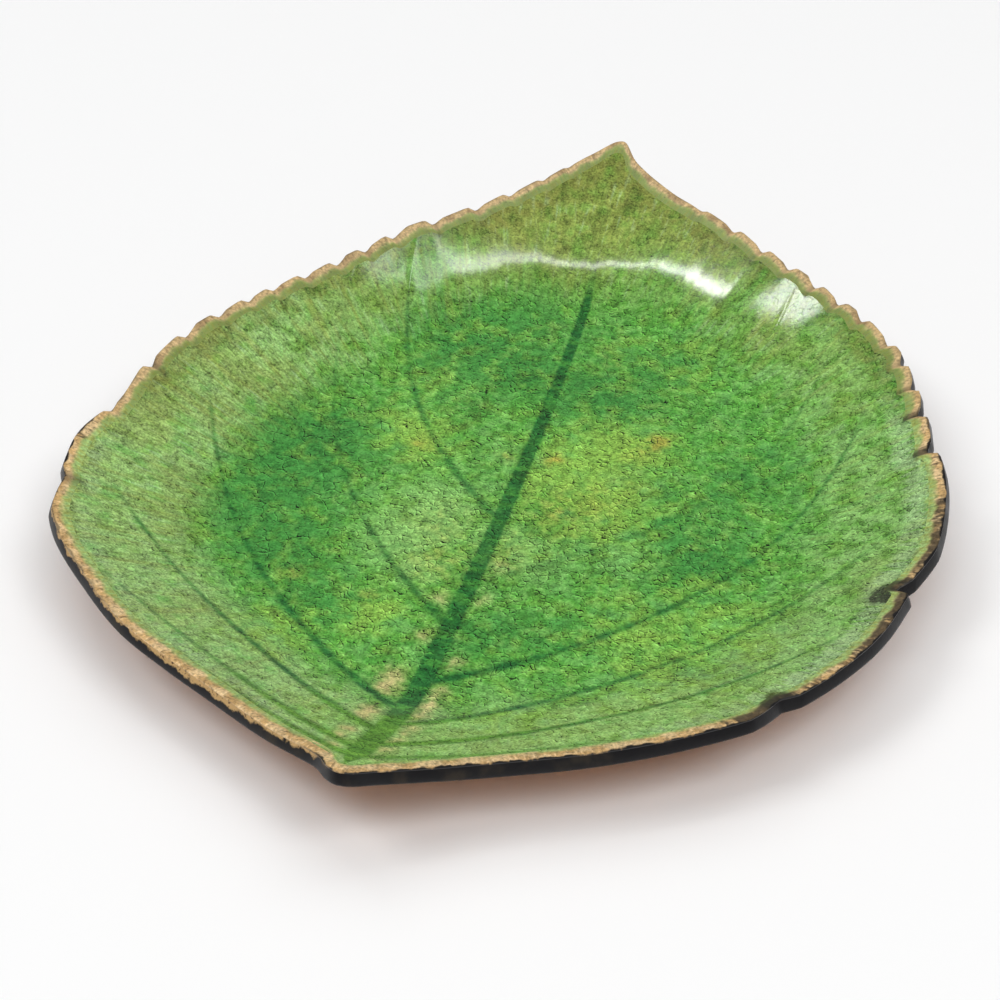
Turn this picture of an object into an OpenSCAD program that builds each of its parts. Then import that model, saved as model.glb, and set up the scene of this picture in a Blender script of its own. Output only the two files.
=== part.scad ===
// A leaf shaped plate: a dished slab of clay with pressed veins, glazed green inside, banded tan along
// its toothed edge and coated black round the outside. Millimetres, +Y from the stem to the tip, +Z up,
// with the origin in the middle of the flat base.

/* [Leaf] */
// Length of the rim from the stem end to the tip
leaf_length = 211.5; // [170:1:240]
// Width from the midrib to the left rim
left_width = 81.5; // [65:0.5:95]
// Width from the midrib to the right rim
right_width = 90; // [75:0.5:110]
// Depth of an ordinary notch between two teeth
tooth_depth = 1.6; // [0.8:0.1:2.2]
// Stretch of margin after a notch, towards the tip, over which the next tooth rises
tooth_reach = 7; // [4:0.5:9]
// Stretch of margin before a notch over which the tooth's end turns in
tooth_round = 1.2; // [0.6:0.1:2]

/* [Dish] */
// Run of the wall from the margin in to the floor
wall_run = 36; // [26:1:44]
// Slope of the wall in degrees
wall_angle = 27; // [18:1:36]
// Softness of the bend between the floor and the wall
wall_bend = 12; // [6:1:20]
// Thickness of the clay under the floor
clay_thick = 4.6; // [3.5:0.1:7]
// Thickness of clay and glaze together at the edge
edge_thick = 2.6; // [2.2:0.1:4]
// How far the edge leans out from the rim down to its lower corner
edge_lean = 0.9; // [0:0.1:1.8]

/* [Veins] */
// Sideways bow of the midrib, to the right
midrib_bow = 3.2; // [0:0.1:4]
// Width of the midrib near the stem
midrib_width = 5; // [4:0.5:8]
// Width of the midrib where it ends near the tip
midrib_end_width = 2; // [1:0.1:3]
// Width of a side vein where it leaves the midrib
vein_width = 2.2; // [1.2:0.1:3]
// Width of a side vein at the margin that it runs towards
vein_end_width = 0.9; // [0.5:0.1:1.5]
// Depth of the vein grooves in the clay
groove_depth = 0.8; // [0.4:0.1:1.4]

/* [Glaze] */
// Thickness of the green glaze and of the tan band
glaze_thick = 0.7; // [0.4:0.1:1]
// Width of the tan band along the edge
band_width = 2.8; // [2:0.1:4]
// How far the tan band turns down over the edge
band_drop = 0.7; // [0.6:0.1:1.2]
// Rounding of the edge's top corner
edge_round = 0.4; // [0.2:0.1:0.5]
// Thickness of the black coat on the edge
coat_thick = 0.5; // [0.3:0.1:1]

/* [Hidden] */

// Place of the floor's middle on the way from the stem to the tip
middle_share = 0.455;
// Points of each margin from the stem to the tip: share of the side's width, share of the leaf's length
left_margin_shares = [
    [0, 0], [0.032, 0.008], [0.079, 0.029], [0.211, 0.055], [0.36, 0.089], [0.51, 0.119], [0.639, 0.148],
    [0.772, 0.195], [0.909, 0.252], [0.978, 0.312], [1, 0.391], [0.964, 0.46], [0.944, 0.53], [0.872, 0.604],
    [0.762, 0.676], [0.627, 0.749], [0.496, 0.822], [0.343, 0.882], [0.209, 0.932], [0.079, 0.978], [0, 1]
];
right_margin_shares = [
    [0, 0], [0.03, 0.004], [0.093, 0.024], [0.264, 0.065], [0.466, 0.101], [0.617, 0.136], [0.76, 0.179],
    [0.858, 0.237], [0.931, 0.305], [0.966, 0.368], [1, 0.44], [0.987, 0.529], [0.938, 0.6], [0.856, 0.694],
    [0.767, 0.755], [0.624, 0.815], [0.473, 0.867], [0.308, 0.917], [0.157, 0.949], [0.05, 0.978], [0, 1]
];
// Places of the notches along each margin, as shares of its length from the stem
left_notch_shares = [
    0.39, 0.477, 0.536, 0.58, 0.616, 0.646, 0.67, 0.7, 0.73, 0.758, 0.786, 0.824, 0.863, 0.895, 0.926,
    0.95, 0.972
];
right_notch_shares = [
    0.28, 0.36, 0.42, 0.466, 0.573, 0.614, 0.643, 0.671, 0.696, 0.731, 0.758, 0.785, 0.815, 0.844, 0.876,
    0.91, 0.955
];
// Depth of each notch as a share of an ordinary one
left_notch_depth_shares = [1, 0.7, 1.1, 0.9, 0.9, 0.8, 0.8, 0.9, 0.9, 0.9, 0.9, 1, 0.9, 0.7, 0.5, 0.3, 0];
right_notch_depth_shares = [1.9, 0, 2.2, 0, 1.4, 1.3, 1.1, 1, 0.9, 0.9, 1, 1, 0.9, 0.9, 0.8, 0.4, 0];
// Smooth stretches that each margin has before its first notch
front_count = 10;
// Tooth or stretch, counted from the stem, that each side vein runs towards
left_vein_teeth = [4, 7, 10, 13, 18, 20];
right_vein_teeth = [7, 11, 13, 17, 19, 21];
// Place along the midrib where each side vein leaves it
left_vein_start_shares = [0.026, 0.046, 0.096, 0.149, 0.285, 0.448];
right_vein_start_shares = [0.026, 0.062, 0.116, 0.199, 0.351, 0.46];
// Bow of each side vein as a share of its length
left_vein_bow_shares = [0, 0, 0.03, 0.09, 0.11, 0.095];
right_vein_bow_shares = [0, 0.03, 0.05, 0.13, 0.125, 0.09];
// Places across a side, from the midrib to the tan band, where its facets meet
field_shares = [0, 0.16, 0.32, 0.48, 0.62, 0.75, 0.88, 1];
// Facets across a side that a side vein covers
vein_facets = 6;
// Part of a notch that the tan band's inner line follows
band_follow_share = 0.75;
// Place of a tooth's shoulder on the way that it rises, and how much of the notch's depth is left there
shoulder_share = 0.45;
shoulder_depth_share = 0.35;
// Most of a narrow tooth that its rise takes up, and most that its end takes up
rise_limit_share = 0.7;
end_limit_share = 0.25;
// Stretch of margin over which the band's direction turns at the stem and at the tip
turn_share = 0.06;
// Step along the margin over which its direction is measured
slope_step_share = 0.004;
// Stretch of midrib near the stem over which it widens, and the place where it ends
midrib_start_share = 0.03;
midrib_end_share = 0.9;
// Bearings to each side over which the floor's outline is eased, and the angle between them
ease_count = 15;
ease_angle = 2;
// Steps between two points of a margin
curve_steps = 6;

stem_reach = leaf_length * middle_share;
floor_top = clay_thick + glaze_thick;
vein_count = len(left_vein_teeth);
tooth_count = len(left_notch_shares);

function mix(a, b, t) = a + (b - a) * t;
function unit(v) = v / norm(v);
function mirrored(v, sign) = [v.x * sign, v.y];

// A margin's smooth curve through its points, which runs on mirrored past both ends
function control(p, i) =
    i < 0 ? mirrored(p[1], -1) : i < len(p) ? p[i] : mirrored(p[len(p) - 2], -1);
function curve(p, i, t) =
    let (a = control(p, i - 1), b = control(p, i), c = control(p, i + 1), d = control(p, i + 2))
    (2 * b + (c - a) * t + (2 * a - 5 * b + 4 * c - d) * t ^ 2 + (3 * b - a - 3 * c + d) * t ^ 3) / 2;
function margin_path(p, width) = [
    for (i = [0 : len(p) - 2], k = [0 : i == len(p) - 2 ? curve_steps : curve_steps - 1])
        let (q = curve(p, i, k / curve_steps)) [q.x * width, q.y * leaf_length - stem_reach]
];
function step(path, i) = i + 1 < len(path) ? norm(path[i + 1] - path[i]) : 0;
function runs(path) = [for (i = 0, d = 0; i < len(path); d = d + step(path, i), i = i + 1) d];

// The bearing of a place, seen from the floor's middle: 0 at the stem, 180 at the tip, below 0 on the left
function bearing(p) = atan2(p.x, -p.y);

// A side holds its margin's x and y by share of length, its reach by bearing, and its length
function margin_side(p, width) =
    let (path = margin_path(p, width), run = runs(path), total = run[len(run) - 1])
    [
        [for (i = [0 : len(path) - 1]) [run[i] / total, path[i].x]],
        [for (i = [0 : len(path) - 1]) [run[i] / total, path[i].y]],
        [for (q = path) [bearing(q), norm(q)]],
        total
    ];
left_side = margin_side(left_margin_shares, left_width);
right_side = margin_side(right_margin_shares, right_width);

function margin(side, s) = [lookup(s, side[0]), lookup(s, side[1])];
function inward(side, s) =
    let (
        along = unit(margin(side, s + slope_step_share) - margin(side, s - slope_step_share)),
        from_stem = min(1, s / turn_share),
        from_tip = min(1, (1 - s) / turn_share)
    )
    unit([-along.y, along.x] * from_stem * from_tip + [0, 1] * (1 - from_stem) - [0, 1] * (1 - from_tip));

// Height of the glazed surface, as a round mould gives it: a flat floor, a soft bend and a sloping wall.
// The floor's outline follows the margin's reach, eased over the bearings beside it
function margin_reach(a) =
    let (b = a > 180 ? a - 360 : a < -180 ? a + 360 : a)
    lookup(abs(b), b < 0 ? left_side[2] : right_side[2]);
function eased_reach(a) =
    let (
        turns = [for (k = [-ease_count : ease_count]) k],
        weights = [for (k = turns) 1 + ease_count - abs(k)]
    )
    [for (k = turns) margin_reach(a + k * ease_angle)] * weights / (weights * [for (k = turns) 1]);
function past_floor(p) = max(0, norm(p) - eased_reach(bearing(p)) + wall_run);
function glaze_height(p) = floor_top + tan(wall_angle) * (norm([past_floor(p), wall_bend]) - wall_bend);
function plate_thick(p) = mix(floor_top, edge_thick, min(1, past_floor(p) / wall_run));

// Lines from the midrib to a margin, from the stem to the tip, each as its share of the margin, the depth
// of the notch there, the number of the vein that it belongs to, and its place in that vein
function stations(notches) = concat(
    [for (i = [0 : front_count - 1]) notches[0] * i / front_count], notches, [1]
);
function station_depth(depths, i) =
    let (k = i - front_count) k >= 0 && k < tooth_count ? tooth_depth * depths[k] : 0;
function vein_at(teeth, i) = len([for (t = teeth) if (t <= i) t]) * len([for (t = teeth) if (t == i) t]);
function margin_lines(side, notches, depths, teeth) =
    let (st = stations(notches), half = vein_end_width / 2 / side[3])
    concat(
        [
            for (i = [0 : len(st) - 2])
                let (
                    gap = (st[i + 1] - st[i]) * side[3],
                    depth = station_depth(depths, i),
                    shoulder = min(rise_limit_share, tooth_reach / gap) * shoulder_share,
                    end = min(end_limit_share, tooth_round / gap),
                    middle = (st[i] + st[i + 1]) / 2,
                    v = vein_at(teeth, i)
                )
                each concat(
                    [[st[i], depth, 0, 0]],
                    i < front_count ? []
                    : [[mix(st[i], st[i + 1], shoulder), depth * shoulder_depth_share, 0, 0]],
                    v == 0 ? [] : [for (place = [-1 : 1]) [middle + half * place, 0, v, place]],
                    i < front_count ? [] : [[mix(st[i + 1], st[i], end), 0, 0, 0]]
                )
        ],
        [[1, 0, 0, 0]]
    );
left_lines = margin_lines(left_side, left_notch_shares, left_notch_depth_shares, left_vein_teeth);
right_lines = margin_lines(right_side, right_notch_shares, right_notch_depth_shares, right_vein_teeth);
last = len(left_lines) - 1;

// Places of a line's end: the margin set in by the notch there and by a width, and the band's inner line
function edge_place(side, l, inset) = margin(side, l[0]) + inward(side, l[0]) * (l[1] + inset);
function band_place(side, l) =
    margin(side, l[0]) + inward(side, l[0]) * (band_width + coat_thick + l[1] * band_follow_share);

// Where a line starts on the midrib, and how far it bows: both by its number, between those of the veins
midrib_foot = band_place(right_side, right_lines[0]).y;
midrib_head = band_place(right_side, right_lines[last]).y;
half_start_share = vein_width / 2 / (midrib_head - midrib_foot);
function knots(lines, values, half, end) = concat(
    [[0, 0]],
    [for (j = [0 : last]) let (l = lines[j]) if (l[2] > 0) [j, values[l[2] - 1] + half * l[3]]],
    [[last, end]]
);
function midrib_shift(m) = midrib_bow * sin(180 * m);
function midrib_half(m) =
    mix(midrib_width, midrib_end_width, min(1, m / midrib_end_share)) / 2
    * min(1, m / midrib_start_share, (1 - m) / (1 - midrib_end_share));

// One line's places from the midrib out to the clay's edge, which leans out on the underside
function line_places(side, sign, lines, j, starts, bows, lean) =
    let (
        l = lines[j],
        m = lookup(j, starts),
        from = [midrib_half(m) + midrib_shift(m) * sign, mix(midrib_foot, midrib_head, m)],
        to = band_place(side, l),
        chord = to - from,
        bow = lookup(j, bows) * 4
    )
    concat(
        [for (w = field_shares) from + chord * w + [chord.y, -chord.x] * bow * w * (1 - w)],
        [edge_place(side, l, coat_thick - lean)]
    );
left_starts = knots(left_lines, left_vein_start_shares, half_start_share, 1);
left_bows = knots(left_lines, left_vein_bow_shares, 0, 0);
right_starts = knots(right_lines, right_vein_start_shares, half_start_share, 1);
right_bows = knots(right_lines, right_vein_bow_shares, 0, 0);

// The whole plate's grid: one row a line, from the left edge over the midrib to the right edge
side_places = len(field_shares) + 1;
columns = 2 * side_places + 1;
function grid_row(j, lean) =
    let (
        a = line_places(left_side, -1, left_lines, j, left_starts, left_bows, lean),
        b = line_places(right_side, 1, right_lines, j, right_starts, right_bows, lean)
    )
    concat(
        [for (i = [side_places - 1 : -1 : 0]) mirrored(a[i], -1)],
        [(mirrored(a[0], -1) + b[0]) / 2],
        b
    );
places = [for (j = [0 : last]) each grid_row(j, 0)];
foot_places = [for (j = [0 : last]) each grid_row(j, edge_lean)];
function from_top(p, dz) = [p.x, p.y, glaze_height(p) + dz];
function from_bottom(p, q, dz) = [p.x, p.y, glaze_height(q) - plate_thick(q) + dz];
glaze_tops = [for (p = places) from_top(p, 0)];

// The grooves are deepest on the midrib's middle and on the middle line of each side vein
function in_midrib(j) = j > 0 && j < last && lookup(j + 1, right_starts) < midrib_end_share;
function vein_middle(lines, j, across) = lines[j][2] > 0 && lines[j][3] == 0 && across <= vein_facets;
function grooved(j, c) =
    c == side_places ? in_midrib(j) && in_midrib(j - 1)
    : vein_middle(c < side_places ? left_lines : right_lines, j, abs(c - side_places));
clay_tops = [
    for (j = [0 : last], c = [0 : columns - 1])
        glaze_tops[j * columns + c] - [0, 0, glaze_thick + (grooved(j, c) ? groove_depth : 0)]
];
clay_bottoms = [for (i = [0 : len(places) - 1]) from_bottom(foot_places[i], places[i], 0)];

// What each cell of the grid holds: 0 bare rim, 1 green glaze, 2 midrib, then the left and right veins
function side_vein_at(lines, j) = lines[j][2] == lines[j + 1][2] ? lines[j][2] : 0;
function cell_kind(j, c) =
    let (across = c < side_places ? side_places - c : c - side_places + 1, left = c < side_places)
    across == side_places ? 0
    : across == 1 ? (in_midrib(j) ? 2 : 1)
    : across > vein_facets + 1 ? 1
    : let (v = side_vein_at(left ? left_lines : right_lines, j))
    v == 0 ? 1 : left ? 2 + v : 2 + vein_count + v;
cell_kinds = [for (j = [0 : last - 1]) [for (c = [0 : columns - 2]) cell_kind(j, c)]];

// A place's number: every line meets in one point at the stem, and again at the tip
function place_number(j, c) =
    (j > 0 && j < last) ? j * columns + c : j * columns + (c == 0 || c == columns - 1 ? 0 : 1);
function triangle(a, b, c) = a == b || b == c || c == a ? [] : [[a, b, c]];

// A closed layer over the cells that a rule picks, between two lists of points
module layer(picked, upper, lower) {
    count = len(places);
    function inside(j, c) = j >= 0 && j < last && c >= 0 && c < columns - 1 && picked[j][c];
    function wall(a, b) = concat(triangle(a, b, b + count), a == b ? [] : [[a, b + count, a + count]]);
    faces = [
        for (j = [0 : last - 1], c = [0 : columns - 2])
            if (picked[j][c])
                let (
                    a = place_number(j, c),
                    b = place_number(j + 1, c),
                    d = place_number(j + 1, c + 1),
                    e = place_number(j, c + 1)
                )
                each concat(
                    triangle(a, b, d), triangle(a, d, e),
                    triangle(d + count, b + count, a + count), triangle(e + count, d + count, a + count),
                    inside(j, c - 1) ? [] : wall(b, a),
                    inside(j, c + 1) ? [] : wall(e, d),
                    inside(j - 1, c) || j == 0 ? [] : wall(a, e),
                    inside(j + 1, c) || j == last - 1 ? [] : wall(d, b)
                )
    ];
    polyhedron(concat(upper, lower), faces);
}

// A closed ring along the whole margin, from one section a line
module margin_ring(sections, turned) {
    n = len(sections);
    k = len(sections[0]);
    function number(i, e) = (i % n) * k + e % k;
    points = [for (s = sections) each s];
    faces = [
        for (i = [0 : n - 1], e = [0 : k - 1])
            let (a = number(i, e), b = number(i, e + 1), c = number(i + 1, e + 1), d = number(i + 1, e))
            each turned ? [[c, b, a], [d, c, a]] : [[a, b, c], [a, c, d]]
    ];
    polyhedron(points, faces);
}

// Places of the rim at one line: the band's inner line, the clay's edge, the outside, and on the underside
// the clay's lower corner and the coat's
function rim_places(side, l, sign) = [
    for (p = [
        band_place(side, l), edge_place(side, l, coat_thick), edge_place(side, l, 0),
        edge_place(side, l, coat_thick - edge_lean), edge_place(side, l, -edge_lean)
    ]) mirrored(p, sign)
];
rim_lines = concat(
    [for (j = [last : -1 : 1]) rim_places(left_side, left_lines[j], -1)],
    [for (j = [0 : last - 1]) rim_places(right_side, right_lines[j], 1)]
);

module clay_body() {
    color("#a4603f") layer([for (row = cell_kinds) [for (k = row) true]], clay_tops, clay_bottoms);
}

module edge_coat() {
    color("#1d1b19") margin_ring(
        [
            for (r = rim_lines) [
                from_bottom(r[0], r[0], 0), from_bottom(r[3], r[1], 0), from_top(r[1], -glaze_thick),
                from_top(r[2], -band_drop), from_bottom(r[4], r[1], 0),
                from_bottom(r[3], r[1], -coat_thick), from_bottom(r[0], r[0], -coat_thick)
            ]
        ],
        true
    );
}

module rim_band() {
    color("#b4925c") margin_ring(
        [
            for (r = rim_lines) [
                from_top(r[0], -glaze_thick), from_top(r[1], -glaze_thick), from_top(r[2], -band_drop),
                from_top(r[2], -edge_round), from_top(r[1], 0), from_top(r[0], 0)
            ]
        ],
        false
    );
}

module glaze_part(kind, paint) {
    color(paint) layer([for (row = cell_kinds) [for (k = row) k == kind]], glaze_tops, clay_tops);
}

module green_glaze() { glaze_part(1, "#5fa037"); }

module midrib_fill() { glaze_part(2, "#2f7430"); }

module left_vein(v) { glaze_part(2 + v, "#3a7f37"); }

module right_vein(v) { glaze_part(2 + vein_count + v, "#3a7f37"); }

clay_body();
edge_coat();
rim_band();
green_glaze();
midrib_fill();
for (v = [1 : vein_count]) {
    left_vein(v);
    right_vein(v);
}
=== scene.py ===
"""Leaf shaped plate: a pressed stoneware dish with a toothed leaf outline, a green crackle glaze with dark
filled veins, a tan band along the rim and a black edge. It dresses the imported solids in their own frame:
+Y runs from the stem to the tip, +Z is up, and the origin is in the middle of the flat base. In metres."""

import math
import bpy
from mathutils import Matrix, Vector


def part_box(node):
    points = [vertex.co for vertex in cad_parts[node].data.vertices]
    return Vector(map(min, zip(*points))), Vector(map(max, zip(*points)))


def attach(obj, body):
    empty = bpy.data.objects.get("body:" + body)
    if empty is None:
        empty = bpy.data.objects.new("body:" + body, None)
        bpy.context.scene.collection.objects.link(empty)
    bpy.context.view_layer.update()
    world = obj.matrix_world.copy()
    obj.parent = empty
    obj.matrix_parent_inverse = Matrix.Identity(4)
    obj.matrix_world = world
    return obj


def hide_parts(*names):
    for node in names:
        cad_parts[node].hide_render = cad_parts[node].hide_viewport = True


bl_info = {
    "name": "Leaf shaped plate",
    "version": (1, 0, 0),
    "blender": (4, 5, 0),
    "location": "View3D > Sidebar > Leaf plate",
    "description": "Builds the fired layers of a leaf shaped plate on its packed solids",
    "category": "Object",
}

import bmesh
import bpy
import numpy as np
from mathutils import Vector

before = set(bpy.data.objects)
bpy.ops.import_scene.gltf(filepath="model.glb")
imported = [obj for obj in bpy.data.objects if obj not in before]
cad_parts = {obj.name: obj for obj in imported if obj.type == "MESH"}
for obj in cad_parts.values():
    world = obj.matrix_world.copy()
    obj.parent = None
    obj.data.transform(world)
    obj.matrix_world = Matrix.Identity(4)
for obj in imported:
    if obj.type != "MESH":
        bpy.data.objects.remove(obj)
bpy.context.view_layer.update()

MM = 0.001
BODY = "root"
BAND_LOW, BAND_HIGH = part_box("rim_band")
GLAZE_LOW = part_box("green_glaze")[0]

# Smooth stretches that each margin has before its first notch
FRONT_COUNT = 10
# A tooth's rising side: its shoulder's place and depth, and the limits on its rise and its rounded end
SHOULDER_SHARE = 0.45
SHOULDER_DEPTH_SHARE = 0.35
RISE_LIMIT_SHARE = 0.7
END_LIMIT_SHARE = 0.25
# How much of a notch the band's inner line follows
BAND_FOLLOW_SHARE = 0.75
# Share of the margin over which its normal turns to the leaf's axis at the stem and the tip
TURN_SHARE = 0.06
SLOPE_STEP_SHARE = 0.004
# Ends of the midrib's taper, and of the side veins, as shares of their lines
MIDRIB_START_SHARE = 0.03
MIDRIB_END_SHARE = 0.9
VEIN_END_SHARE = 0.88
# How a vein's darkness falls off from its root, and where and over what share it dies out
TONE_POWER = 0.7
TONE_END_SHARE = 1.02
TONE_FADE_SHARE = 0.2
# Shares of a vein's and the midrib's line over which their grooves end
VEIN_FADE_SHARE = 0.06
RIB_FADE_SHARE = 0.02
# Bearings beside a place over which the floor's outline is eased, and their step in degrees
EASE_COUNT = 15
EASE_ANGLE = 2
CURVE_STEPS = 24
# How far a notch's corners are softened along the margin
NOTCH_SOFTNESS = 0.3 * MM
# The dark spot in a notch: its radius in millimetres and its amount
NOTCH_SPOT_RADIUS = 1.5
NOTCH_SPOT_AMOUNT = 0.55
# The runs on the wall: a round on which they are counted, and how much their length shrinks them
FLOW_RADIUS = 85 * MM
FLOW_SHARE = 0.12
# How much the band's width counts beside its length in the marks that run across it
ACROSS_SHARE = 0.3

# Each half of the leaf: its margin in shares of the width and the length, its notches, and for each
# side vein the stretch of margin that it runs to, its start on the midrib, its bow, and its darkness at
# root and end
LEFT = {
    "sign": -1,
    "margin": (
        (0, 0), (0.032, 0.008), (0.079, 0.029), (0.211, 0.055), (0.36, 0.089), (0.51, 0.119),
        (0.639, 0.148),
        (0.772, 0.195), (0.909, 0.252), (0.978, 0.312), (1, 0.391), (0.964, 0.46), (0.944, 0.53),
        (0.872, 0.604), (0.762, 0.676), (0.627, 0.749), (0.496, 0.822), (0.343, 0.882), (0.209, 0.932),
        (0.079, 0.978), (0, 1),
    ),
    "notches": (
        0.39, 0.477, 0.536, 0.58, 0.616, 0.646, 0.67, 0.7, 0.73, 0.758, 0.786, 0.824, 0.863, 0.895, 0.926,
        0.95, 0.972,
    ),
    "depths": (1, 0.7, 1.1, 0.9, 0.9, 0.8, 0.8, 0.9, 0.9, 0.9, 0.9, 1, 0.9, 0.7, 0.5, 0.3, 0),
    "vein_teeth": (4, 7, 10, 13, 18, 20),
    "vein_starts": (0.026, 0.046, 0.096, 0.149, 0.285, 0.448),
    "vein_bows": (0, 0, 0.03, 0.09, 0.11, 0.095),
    "vein_tones": ((0.7, 0.35), (0.8, 0.4), (0.95, 0.4), (0.9, 0.35), (0.65, 0.3), (0.65, 0.4)),
}
RIGHT = {
    "sign": 1,
    "margin": (
        (0, 0), (0.03, 0.004), (0.093, 0.024), (0.264, 0.065), (0.466, 0.101), (0.617, 0.136),
        (0.76, 0.179),
        (0.858, 0.237), (0.931, 0.305), (0.966, 0.368), (1, 0.44), (0.987, 0.529), (0.938, 0.6),
        (0.856, 0.694), (0.767, 0.755), (0.624, 0.815), (0.473, 0.867), (0.308, 0.917), (0.157, 0.949),
        (0.05, 0.978), (0, 1),
    ),
    "notches": (
        0.28, 0.36, 0.42, 0.466, 0.573, 0.614, 0.643, 0.671, 0.696, 0.731, 0.758, 0.785, 0.815, 0.844,
        0.876, 0.91, 0.955,
    ),
    "depths": (1.9, 0, 2.2, 0, 1.4, 1.3, 1.1, 1, 0.9, 0.9, 1, 1, 0.9, 0.9, 0.8, 0.4, 0),
    "vein_teeth": (7, 11, 13, 17, 19, 21),
    "vein_starts": (0.026, 0.062, 0.116, 0.199, 0.351, 0.46),
    "vein_bows": (0, 0.03, 0.05, 0.13, 0.125, 0.09),
    "vein_tones": ((0.6, 0.3), (0.9, 0.5), (0.75, 0.4), (0.8, 0.4), (0.35, 0.35), (0.25, 0.25)),
}
VEIN_COUNT = len(LEFT["vein_teeth"])

# Soft pools in the glaze, as (x, y, radius) in millimetres and an amount
EMERALD_POOLS = (
    (-42, 13, 13, 1.0), (-46, -4, 12, 0.8), (-36, -22, 12, 0.85), (-22, -36, 8, 0.6), (-20, 55, 14, 0.8),
    (-4, 47, 9, 0.6), (12, 44, 11, 0.75), (45, -4, 10, 0.9), (50, 24, 12, 0.5), (9, -38, 7, 0.7),
    (22, -34, 8, 0.5), (24, 60, 12, 0.35), (58, -44, 8, 0.4), (-8, 72, 12, 0.5), (36, 10, 8, 0.4),
)
GOLD_POOLS = (
    (17, 24, 11, 0.9), (27, 30, 6, 0.6), (22, 6, 11, 0.8), (8, 14, 7, 0.6), (-23, 22, 8, 0.9),
    (-17, 17, 5, 0.6),
    (-30, -49, 9, 0.8), (-12, -37, 7, 0.8), (42, -41, 10, 0.7), (50, -22, 10, 0.6), (33, -26, 8, 0.5),
    (22, -62, 9, 0.5), (-26, 40, 7, 0.4), (30, 58, 9, 0.4), (14, 60, 6, 0.3), (62, -30, 8, 0.5),
)
PALE_POOLS = (
    (-10, -3, 13, 0.9), (-15, -16, 9, 0.6), (12, -13, 9, 0.7), (30, -7, 8, 0.5), (26, 16, 9, 0.4),
    (-8, -22, 6, 0.5), (18, -55, 7, 0.5), (-3, 20, 6, 0.4),
)
OLIVE_POOLS = (
    (0, 103, 22, 1.0), (-26, 90, 14, 0.7), (30, 92, 12, 0.7), (-52, 58, 12, 0.5), (44, 70, 8, 0.6),
    (-74, 8, 9, 0.6), (-70, 28, 10, 0.6), (80, -12, 8, 0.4), (-78, -18, 7, 0.5), (60, 56, 10, 0.3),
)
ORANGE_SPOTS = (
    (28, 31, 3.0, 0.8), (8.5, 19.5, 2.2, 0.9), (-1, 18, 2.2, 0.5), (-19, 17, 3.5, 0.5),
    (-15, -32, 2.5, 0.5),
    (14, 2, 9, 0.4), (-8, -6, 8, 0.3), (-6, -20, 7, 0.35), (6, -14, 7, 0.35), (24, 12, 9, 0.25),
    (-13, 34, 2.0, 0.3), (24, 26, 4, 0.4), (-10, 80, 3, 0.3), (12, 57, 4, 0.3), (-32, -29, 3, 0.4),
)
# Places beside the midrib and the vein roots where the glaze ran off and the clay shows through
BARE_SPOTS = (
    (-3.8, -52, 2.6, 0.8), (-4.0, -56.5, 2.8, 0.9), (-4.2, -66, 2.2, 0.9), (-4.4, -69.5, 2.1, 0.9),
    (-4.8, -76.5, 2.1, 0.9), (-5.4, -81, 1.9, 0.9), (-4.8, -85.5, 1.6, 0.8), (6.4, -46, 2.4, 0.55),
    (5.6, -55, 2.2, 0.75), (5.2, -60, 2.4, 0.85), (5.2, -64, 2.1, 0.8), (5.0, -69.5, 2.2, 0.85),
    (4.8, -73, 1.9, 0.8), (4.6, -78, 2.0, 0.85), (4.4, -82.5, 1.8, 0.8), (4.0, -87, 1.7, 0.75),
    (-1.4, -29, 2.4, 0.5), (-1.6, -40, 2.4, 0.55), (7.2, -16.5, 3.0, 0.45), (6.0, -27, 2.6, 0.45),
)
# Places with large flakes of crackle
COARSE_POOLS = (
    (-42, 8, 19, 1.0), (-36, -24, 15, 0.9), (-32, 42, 16, 0.7), (46, 24, 14, 0.5), (6, 56, 16, 0.6),
)
# The crease that runs in from the deep notch on the right, the dark corner of the left lobe and a spot
# in the tip
CHAR_SPOTS = (
    (86.0, -19.8, 1.9, 1.2), (84.0, -19.4, 1.6, 1.0), (82.0, -19.0, 1.6, 0.9), (80.0, -18.6, 1.6, 0.7),
    (77.5, -17.0, 2.6, 0.35),
    (-80.5, -12.8, 2.0, 0.9), (69.5, -54.5, 1.6, 0.7), (4.5, 100, 2.6, 0.42),
)
# Soot on the lobes of the right rim
SOOT_SPOTS = (
    (88, 10, 7, 0.5), (88, -3, 8, 0.9), (86, -13, 5, 0.4), (86, -22, 5, 1.0), (85, -31, 6, 0.9),
    (80, -39, 6, 0.5),
    (73, -49, 5, 0.4), (69, -56, 5, 1.0), (65, -62, 5, 0.8), (84, 26, 5, 0.3), (-81, -13, 3, 0.5),
)
# On the wall: bearing from the stem in degrees, right positive, how pale the glaze is, and how far it
# ran in streaks
WALL_KINDS = (
    (-180, 0.3, 0.9), (-150, 0.5, 0.8), (-100, 1.0, 0.9), (-20, 1.0, 0.6), (10, 1.0, 0.45),
    (40, 0.9, 0.35),
    (75, 0.5, 0.3), (110, 0.5, 0.4), (150, 0.4, 0.7), (180, 0.3, 0.9),
)
# Along the rim: bearing from the stem in degrees, right positive, the share of the band's width that
# the green glaze runs over, and the share of the outer edge that the tan glaze runs down
RIM_RUNS = (
    (-180, 0.42, 0), (-110, 0.4, 0), (-80, 0.42, 0), (-65, 0.42, 0.1), (-50, 0.4, 0.12),
    (-35, 0.38, 0.18),
    (-25, 0.38, 0.4), (-15, 0.35, 0.35), (-5, 0.15, 0.12), (0, 0.1, 0), (20, 0.1, 0),
    (45, 0.2, 0), (62, 0.45, 0),
    (80, 0.43, 0), (100, 0.37, 0), (125, 0.45, 0), (180, 0.42, 0),
)


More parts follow.
